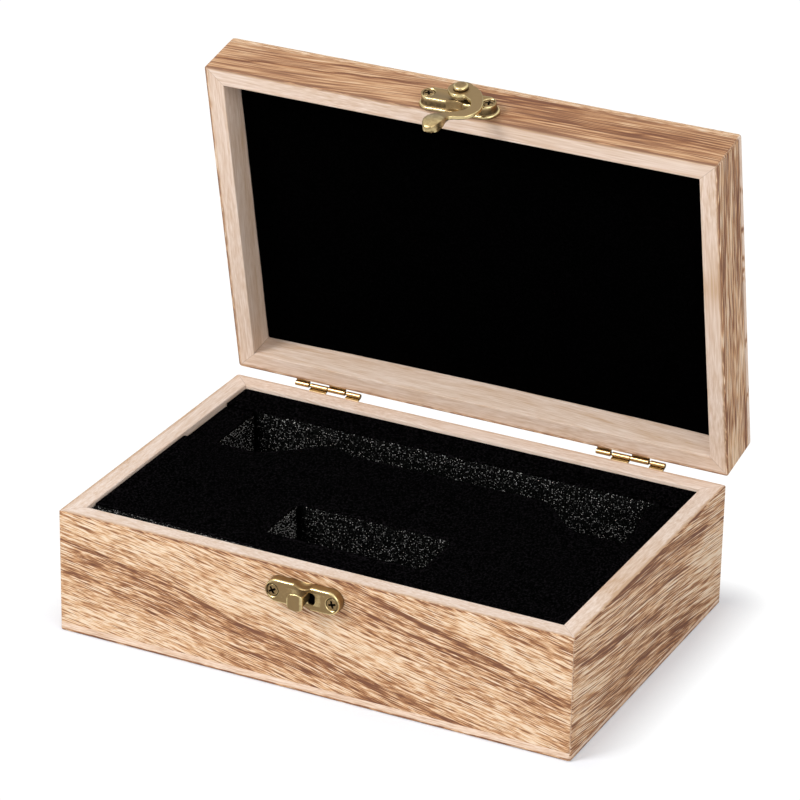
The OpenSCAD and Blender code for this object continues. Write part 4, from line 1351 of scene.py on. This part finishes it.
class WATCHBOX_OT_catch_plate(bpy.types.Operator):
    """Stamped plate on the base with its window and bent tab"""

    bl_idname = "watchbox.catch_plate"
    bl_label = "Catch Plate"

    def execute(self, context):
        face = CATCH_DEEP
        # Painted shade on the foot where it meets the board; the face's edge is light with polish and painted
        # highlight
        rows = [
            (4.4, 0.0, 0.3, -0.8), (4.48, 0.1, 0.5, -0.6), (4.5, 0.4, 0.7, -0.3), (4.46, 0.8, 0.9, -0.2),
            (4.4, 1.4, 1, 0.0), (4.36, 2.2, 1, 0.1), (4.33, 2.9, 1, 0.4), (4.28, 3.25, 1, 0.8),
            (4.18, 3.48, 1, 1.0), (4.03, 3.62, 1, 1.0), (3.85, 3.69, 1, 0.8), (3.68, face, 1, 0.3),
            (3.5, face, 1, 0.0),
        ]
        corners = [(2.3, -1.7), (5.0, -2.1), (5.1, 2.2), (2.4, 2.6)]
        window = rounded_polygon(corners, [0.4, 1.3, 1.3, 0.4], 0.3)
        # Down through the sheet, out under it, and down to the board
        back = face - SHEET_T
        profile = [
            (-0.2, face), (-0.08, face - 0.04), (0.0, face - 0.15), (0.0, back), (-0.15, back - 0.1),
            (-0.9, back - 0.15), (-1.0, back - 0.4), (-1.0, 0.2),
        ]
        # The window is light at its lip from polish and painted highlight, and darkens downwards with painted
        # shade
        hole = (stack(window, profile), dict(wear=[0.6, 0.8, 0.2, -0.4, -0.8, -1.0, -1.0, -1.0]))
        shell = Shell(wear=0.0)
        stamped_plate(shell, on_catch, CATCH_LONG, CATCH_TALL, rows, face, [hole])
        self.tab(shell)
        shell.publish("catch_plate_brass", "antique_brass", "base", "catch_plate")
        return {"FINISHED"}

    @staticmethod
    def tab(shell):
        """Tab that comes out of the plate and bends to the left in front of the hook. The knots are
        x and z of its middle, its half height, and how far it stands above the plate's middle."""
        flat = TAB_Z
        knots = [
            (2.17, 2.6, 1.5, 0.7), (2.17, 5.0, 1.6, 0.7), (2.17, 7.1, 1.8, 0.6), (2.17, 7.55, 2.0, 0.5),
            (2.14, 7.86, 2.35, 0.2), (1.98, 8.08, 2.65, 0.05), (1.66, 8.2, 2.85, 0), (1.0, flat, 3.1, 0),
            (0.2, flat, 3.28, 0), (-0.6, flat, 3.3, 0), (-1.3, flat, 3.15, 0), (-1.95, flat, 3.05, 0),
            (-2.5, flat, 2.8, 0), (-2.9, flat, 2.4, 0), (-3.2, flat, 1.8, 0), (-3.35, flat, 1.0, 0),
        ]
        path = smooth_path(knots, 0.2)
        x, z, tall, up = path.T
        run = np.gradient(path[:, :2], axis=0)
        run /= np.linalg.norm(run, axis=1)[:, None]
        grid = ribbon(at(x, up, z), Y_WAY, at(run[:, 1], 0.0, -run[:, 0]), tall, 0.42, 0.4)
        # Light along its upper and lower edge and at the bend and the tip, from polish and painted highlight,
        # and dark where it starts in the window, painted shade
        at_bend = np.exp(-(((z - 8.0) / 0.35) ** 2)) * (x > 1.5)
        height = np.abs(grid[..., 1]) / np.maximum(tall, 0.5)[:, None]
        wear = 0.8 * at_bend - 0.7 * (z < 7.0) + np.clip(-2.5 - x, 0, 0.8)
        wear = wear[:, None] + np.clip((height - 0.86) * 6, 0, 1)
        shell.loft(on_catch(grid), wear=np.clip(wear, -1, 1))


class WATCHBOX_OT_latch_hook(bpy.types.Operator):
    """Cast hook with its ring, crescent and thumb piece, and the rivet it turns on"""

    bl_idname = "watchbox.latch_hook"
    bl_label = "Latch Hook"

    def execute(self, context):
        shell = Shell(wear=0.0)
        edge = sizes().hook_edge / MM
        middle = (HOOK_LOW + HOOK_FACE) / 2
        half_t = (HOOK_FACE - HOOK_LOW) / 2
        # Ring: a rounded rectangle turned about the pivot
        angle = np.arange(96) / 96 * TAU
        out = at(np.cos(angle), np.sin(angle), 0.0)
        centre = out * (RING_BORE + RING_RIM) / 2 + (0, 0, middle)
        half_w = (RING_RIM - RING_BORE) / 2
        grid = ribbon(centre, out, Z_WAY, half_w, half_t, edge)
        shell.loft(on_pivot(grid), wrap=True, wear=self.rubbed_and_lit(grid, centre, half_w))
        # Arm and thumb: outer and inner edge in plan, half thickness, height of the middle, and how
        # oval the section is
        arm = [
            (2.6, 3.4, 1.2, -3.5, 0.74, 0, 0), (3.9, 3.1, 2.5, -3.85, 0.74, 0, 0),
            (5.4, 2.3, 3.5, -4.12, 0.74, 0, 0), (6.9, 1.1, 4.4, -4.72, 0.75, 0, 0),
            (8.3, -0.4, 5.4, -5.37, 0.75, 0, 0), (9.5, -2.2, 6.44, -6.16, 0.75, 0, 0),
            (11.1, -5.0, 7.43, -7.59, 0.75, 0, 0), (12.15, -8.0, 7.85, -9.0, 0.75, 0, 0),
            (12.45, -11.0, 7.85, -10.4, 0.75, 0, 0), (11.65, -13.8, 7.43, -11.81, 0.75, 0, 0),
            (9.8, -16.3, 6.62, -13.05, 0.75, 0, 0), (7.2, -17.6, 5.55, -13.94, 0.76, 0, 0),
            (5.6, -18.0, 4.3, -14.9, 0.78, 0.02, 0.05), (4.5, -18.8, 2.2, -16.3, 0.88, 0.08, 0.2),
            (4.15, -19.9, -0.2, -17.9, 1.15, 0.2, 0.5), (4.35, -21.1, -2.2, -19.6, 1.6, 0.35, 0.8),
            (4.75, -22.8, -3.35, -21.6, 2.15, 0.4, 0.95), (4.75, -24.8, -3.65, -24.0, 2.5, 0.4, 1),
            (4.05, -26.7, -3.05, -26.3, 2.3, 0.4, 1), (2.7, -28.05, -1.7, -28.0, 1.65, 0.4, 1),
            (1.5, -28.65, -0.4, -28.65, 0.9, 0.4, 1), (0.75, -28.8, 0.4, -28.8, 0.3, 0.4, 1),
        ]
        path = smooth_path(arm, 0.2)
        outer, inner = path[:, 0:2], path[:, 2:4]
        side = outer - inner
        half_w = np.linalg.norm(side, axis=1) / 2
        side = at(*(side / (2 * half_w[:, None])).T, 0.0)
        centre = at(*((outer + inner) / 2).T, middle + path[:, 5])
        oval = np.clip(path[:, 6], 0, 1)
        grid = ribbon(centre, side, Z_WAY, half_w, np.maximum(path[:, 4], 0.02), edge, oval)
        # The thumb piece is light all over, and most on its underside and end, from finger polish and painted
        # highlight
        bulb = np.clip(-19.5 - centre[:, 1:2], 0, 1)
        wear = self.rubbed_and_lit(grid, centre, half_w) * (1 - bulb) + 0.45 * bulb
        thumb = np.clip(-21.5 - centre[:, 1:2], 0, 1) * np.clip(0.6 - (grid[..., 2] - centre[:, 2:3]), 0, 1)
        shell.loft(on_pivot(grid), wear=np.maximum(wear, thumb))
        shell.publish("latch_hook_brass", "antique_brass", "hook", "latch_hook")
        self.rivet()
        return {"FINISHED"}

    @staticmethod
    def rivet():
        """Clinched end, shank and button head: rows of (radius, height, tone of polish, dirt and painted
        light).
        """
        # Painted shade on the shank under the head; polish and painted highlight on the head's rounded edge,
        # and a little darker on its flat top
        rows = [
            (0, 3.7, 0), (2.2, 3.7, 0), (2.2, 4.5, 0), (1.5, 4.5, -1), (1.5, 7.58, -1), (2.2, 7.6, -1),
            (2.62, 7.66, -0.8), (2.78, 7.8, -0.3), (2.8, 8.0, 0), (2.8, 8.2, 0.5), (2.74, 8.5, 0.9),
            (2.58, 8.72, 1.0), (2.34, 8.87, 0.9), (2.0, 8.95, 0.4), (1.6, 8.98, -0.1), (1.2, 9.0, -0.2),
            (0, 9.02, -0.2),
        ]
        radius, height, wear = np.array(rows).T
        shell = Shell(wear=0.0)
        shell.loft(on_pivot(circles(np.stack([radius, height], 1), count=64)), wear=wear)
        shell.publish("latch_rivet_brass", "antique_brass", "lid", "latch_rivet")

    @staticmethod
    def rubbed_and_lit(grid, centre, half_w):
        """Light where the surface is close to the edge of the strip, from polish and painted highlight, and
        dull on its flats.
        """
        across = np.linalg.norm((grid - centre[:, None, :])[..., :2], axis=-1)
        half_w = np.broadcast_to(half_w, len(grid))[:, None]
        return np.clip(1.1 - (half_w - across) / 0.4, 0, 1)


def screw(head, face, bite, head_up=0.3):
    """Wood screw drawn along z with its head's edge at the given face: point, shank, sunk cone,
    domed head and a cross recess. Every loop has one point at each angle of the cross's outline."""
    a, b = head * 0.7, head * 0.19
    quarter = np.array([(a, -b), (a, b), (b, b)])
    plus = np.concatenate([quarter @ turned for turned in QUARTER_TURNS])
    cross = rounded_polygon(plus, b * 0.35, head * 0.09, 2)
    unit = cross / np.linalg.norm(cross, axis=1)[:, None]

    def dome(plan, sunk=0.0):
        """The plan's points on the head's dome, or a little under it."""
        high = head_up * (1 - ((plan**2).sum(-1) / head**2) ** 1.3)
        return at(*plan.T, face + high - sunk)

    # Rows of (radius, height under the face, tone): painted shade under the head's rim, polish and painted
    # highlight on its edge
    shaft = [
        (0.02, bite, 0), (0.3, bite - 0.1, 0), (1.0, bite - 1.3, 0), (1.0, 1.1, 0), (head * 0.93, 0.22, -1),
        (head, 0.1, -0.3), (head, 0.02, 0.6),
    ]
    rows = [at(*(unit * radius).T, face - under) for radius, under, _ in shaft]
    wear = [rubbed_and_lit for _, _, rubbed_and_lit in shaft]
    for share in (0.02, 0.06, 0.15, 0.4, 0.75, 0.95):
        rows.append(dome(unit * head * (1 - share) + cross * share))
        wear.append(0.7 if share < 0.1 else -0.1)
    # Painted shade down in the cross recess
    rows += [dome(cross, 0.02), at(*(cross * 0.97).T, dome(cross, 0.12)[:, 2])]
    rows += [at(*(cross * 0.8).T, dome(cross, 0.55)[:, 2]), at(*(cross * 0.5).T, face - 0.75)]
    return np.stack(rows), [*wear, -0.3, -1, -1, -1]


class WATCHBOX_OT_screws(bpy.types.Operator):
    """Cross head screws of the latch, the catch and the hinges"""

    bl_idname = "watchbox.screws"
    bl_label = "Screws"

    def execute(self, context):
        for name, place, deep, body in (
            ("latch_screws", on_latch, LATCH_DEEP - 0.4, "lid"),
            ("catch_screws", on_catch, CATCH_DEEP - 0.3, "base"),
        ):
            shell = Shell(wear=0.0)
            grid, wear = screw(PLATE_SCREW_R, deep, deep + PLATE_SCREW_LONG)
            for turn, x in ((0.5, -SCREW_DX), (0.25, SCREW_DX)):
                c, s = np.cos(turn), np.sin(turn)
                spin = np.array([[c, s, 0], [-s, c, 0], [0, 0, 1]])
                shell.loft(place(grid @ spin + (x, 0, 0)), wear=wear)
            shell.publish(name + "_brass", "antique_brass", body, name)
        grid, wear = screw(LEAF_SCREW_R, LEAF_T, LEAF_T + LEAF_SCREW_LONG, 0.35)
        for body, up in (("base", -1), ("lid", 1)):
            shell = Shell(wear=0.0)
            for x in HINGE_X:
                for dx in (-LEAF_SCREW_DX, LEAF_SCREW_DX):
                    placed = on_back(grid, x + dx, HINGE_Z + up * LEAF_SCREW_Z)
                    shell.loft(open_lid(placed) if body == "lid" else placed, wear=wear)
            name = f"{body}_hinge_screws"
            shell.publish(name + "_brass", "bright_brass", body, name)
        return {"FINISHED"}


class WATCHBOX_OT_hinges(bpy.types.Operator):
    """Two butt hinges: leaves with rolled knuckles, and their pins"""

    bl_idname = "watchbox.hinges"
    bl_label = "Hinges"

    def execute(self, context):
        for side, x in zip(("left", "right"), HINGE_X):
            for body in ("base", "lid"):
                name = f"{side}_hinge_{body}_leaf"
                self.leaf(x, body).publish(name + "_brass", "bright_brass", body, name)
            half = HINGE_LEN / 2
            end = [(0, half), (0.45, half), (PIN_R, half - 0.15)]
            pin = circles([(radius, -along) for radius, along in end] + end[::-1], count=24)
            shell = Shell(wear=0.0)
            # The pin is dark where it shows between the knuckles
            shell.loft(at(x + pin[..., 2], HINGE_Y + pin[..., 0], HINGE_Z + pin[..., 1]), wear=-0.7)
            name = f"{side}_hinge_pin"
            shell.publish(name + "_brass", "bright_brass", "base", name)
        return {"FINISHED"}

    @staticmethod
    def leaf(x, body):
        """Leaf on its board, drawn as (along, away from the axis, off the board), and one strip for
        each knuckle that leaves the leaf, swings out and rolls round the pin."""
        up = 1 if body == "lid" else -1

        def place(points):
            points = at(x + points[..., 0], BOX_D / 2 + points[..., 2], HINGE_Z + up * points[..., 1])
            return open_lid(points) if body == "lid" else points

        shell = Shell(wear=0.0)
        half, low, high = HINGE_LEN / 2, 1.55, 10.15
        corners = [(-half, low), (half, low), (half, high), (-half, high)]
        plan = rounded_polygon(corners, [0.4, 0.4, 1.2, 1.2], 1.0)
        face = LEAF_T
        profile = [(0.15, 0.0), (0.0, 0.12), (0.0, face - 0.2), (0.06, face - 0.06), (0.2, face)]
        profile.append((0.35, face))
        hole = [(1.95, face), (1.85, face - 0.05), (1.75, face - 0.2), (LEAF_SCREW_R, face - 0.5)]
        holes = [
            (place(circles(hole, (dx, LEAF_SCREW_Z))), dict(wear=[0.3, 0.2, -0.8, -1]))
            for dx in (-LEAF_SCREW_DX, LEAF_SCREW_DX)
        ]
        # Painted shade along the leaf's foot at the board and down in the screw holes; its edges are light
        # with polish and painted highlight
        shell.loft(place(stack(plan, profile)), holes, wear=[-0.5, -0.3, 0.2, 0.5, 0.4, 0.2])
        # Knots of a knuckle: off the board, away from the axis, and half thickness
        sheet = sizes().knuckle_sheet / MM
        radius = PIN_R + 0.03 + sheet / 2
        swing = [(0.4, 2.4, 0.39), (0.42, 1.75, 0.36), (0.62, 1.28, 0.3), (1.1, 1.0, 0.27), (1.7, 0.92, 0.25)]
        roll = np.radians(np.linspace(0, 290, 30))
        around = np.stack([AXIS_BACK + radius * np.sin(roll), radius * np.cos(roll), 0 * roll + sheet / 2], 1)
        path = smooth_path(np.concatenate([swing, around]), 0.5)
        run = np.gradient(path[:, :2], axis=0)
        run /= np.linalg.norm(run, axis=1)[:, None]
        for middle in KNUCKLES[body]:
            longer = (WIDE_GAP - JOINT_GAP) / 2 if abs(middle) == INNER_X else 0.0
            centre = at(middle + longer * np.sign(middle), path[:, 1], path[:, 0])
            lift = at(0.0, -run[:, 0], run[:, 1])
            grid = ribbon(centre, X_WAY, lift, KNUCKLE / 2 + longer, path[:, 2], 0.12, corner=4)
            # Painted shade inside the roll and on the neck under the knuckle
            inside = np.hypot(grid[..., 1], grid[..., 2] - AXIS_BACK) < radius
            neck = np.arange(len(path))[:, None] < 2 * len(swing)
            shell.loft(place(grid), wear=np.where(inside, -0.7, np.where(neck, -0.55, 0.2)))
        return shell


# Stage

# The lamps' target and the camera's place in metres, its turn in degrees and its lens in mm
LAMP_TARGET = (0.0, 0.03, 0.07)
CAMERA_PLACE = (0.57819, -1.17541, 0.69606)
CAMERA_TURN = (65.011, -0.967, 26.602)
CAMERA_LENS = 184.67


class WATCHBOX_OT_stage(bpy.types.Operator):
    """Floor, soft studio light and the photograph's camera"""

    bl_idname = "watchbox.stage"
    bl_label = "Stage"

    def execute(self, context):
        scene = context.scene
        scene.view_settings.view_transform = "Standard"
        self.floor(scene)
        self.world(scene)
        # Square soft lamps: place in metres, side and power
        for name, spot, size, power in (
            ("key_light", Vector((-1.0, -1.25, 1.5)), 0.7, 30.0),
            ("fill_light", Vector((1.3, -0.9, 1.0)), 1.2, 11.5),
        ):
            lamp = bpy.data.lights.new(name, "AREA")
            lamp.size = size
            lamp.energy = power
            holder = bpy.data.objects.new(name, lamp)
            holder.location = spot
            holder.rotation_euler = (Vector(LAMP_TARGET) - spot).to_track_quat("-Z", "Y").to_euler()
            scene.collection.objects.link(holder)
        camera = bpy.data.cameras.new("photo_camera")
        camera.lens = CAMERA_LENS
        camera.sensor_width = 36.0
        camera.clip_start, camera.clip_end = 0.05, 20.0
        holder = bpy.data.objects.new("photo_camera", camera)
        holder.location = CAMERA_PLACE
        holder.rotation_euler = np.radians(CAMERA_TURN)
        scene.collection.objects.link(holder)
        scene.camera = holder
        return {"FINISHED"}

    @staticmethod
    def floor(scene):
        """Round floor, a disc of loops 0.3 mm under the box."""
        shell = Shell()
        shell.skin(shell.loops(circles([(2, -0.3), (600, -0.3), (1500, -0.3), (4000, -0.3)], count=96)))
        shell.cap(np.arange(96))
        mesh = bpy.data.meshes.new("studio_floor")
        faces = [face for group in shell.faces for face in group.tolist()]
        mesh.from_pydata(np.concatenate(shell.points) * MM, [], faces)
        mesh.materials.append(finish(studio_floor_paper))
        made = bpy.data.objects.new("studio_floor", mesh)
        scene.collection.objects.link(made)

    @staticmethod
    def world(scene):
        """Even white light all round, shown to the camera as plain white. Gloss sees a studio that is
        bright overhead and dim at eye level."""
        world = bpy.data.worlds.new("studio_world")
        world.use_nodes = True
        tree = world.node_tree
        tree.nodes.clear()
        rays = add(tree, "LightPath").outputs
        height = add(tree, "SeparateXYZ", {0: add(tree, "TexCoord").outputs["Generated"]}).outputs["Z"]
        overhead = remap(tree, height, 0.0, 0.75, 0.2, 1.15)
        fill, gloss, white = (
            add(tree, "Background", {"Color": (1, 1, 1, 1), "Strength": strength})
            for strength in (0.5, overhead, 1.0)
        )
        light = add(tree, "MixShader", {0: rays["Is Glossy Ray"], 1: fill, 2: gloss})
        shown = add(tree, "MixShader", {0: rays["Is Camera Ray"], 1: light, 2: white})
        add(tree, "OutputWorld", {"Surface": shown})
        scene.world = world


# Panel and run

OPERATORS = (
    WATCHBOX_OT_base_boards,
    WATCHBOX_OT_lid_boards,
    WATCHBOX_OT_insert_foam,
    WATCHBOX_OT_insert_velvet,
    WATCHBOX_OT_lid_pad,
    WATCHBOX_OT_latch_plate,
    WATCHBOX_OT_catch_plate,
    WATCHBOX_OT_latch_hook,
    WATCHBOX_OT_screws,
    WATCHBOX_OT_hinges,
    WATCHBOX_OT_stage,
)


class WATCHBOX_PT_panel(bpy.types.Panel):
    """Lists the pieces, sizes and colours of the watch box"""

    bl_idname = "WATCHBOX_PT_panel"
    bl_label = "Watch Box"
    bl_space_type = "VIEW_3D"
    bl_region_type = "UI"
    bl_category = "Watch Box"

    def draw(self, context):
        for group in (context.scene.watch_box_sizes, context.scene.watch_box_colours):
            column = self.layout.column()
            for key in group.__annotations__:
                column.prop(group, key)
        for operator in OPERATORS:
            self.layout.operator(operator.bl_idname)


CLASSES = (WatchBoxSizes, WatchBoxColours, *OPERATORS, WATCHBOX_PT_panel)


def register():
    for each in CLASSES:
        bpy.utils.register_class(each)
    bpy.types.Scene.watch_box_sizes = bpy.props.PointerProperty(type=WatchBoxSizes)
    bpy.types.Scene.watch_box_colours = bpy.props.PointerProperty(type=WatchBoxColours)


def unregister():
    del bpy.types.Scene.watch_box_colours
    del bpy.types.Scene.watch_box_sizes
    for each in reversed(CLASSES):
        bpy.utils.unregister_class(each)


def main():
    register()
    for operator in OPERATORS:
        group, name = operator.bl_idname.split(".")
        getattr(getattr(bpy.ops, group), name)()


if __name__ == "__main__":
    main()
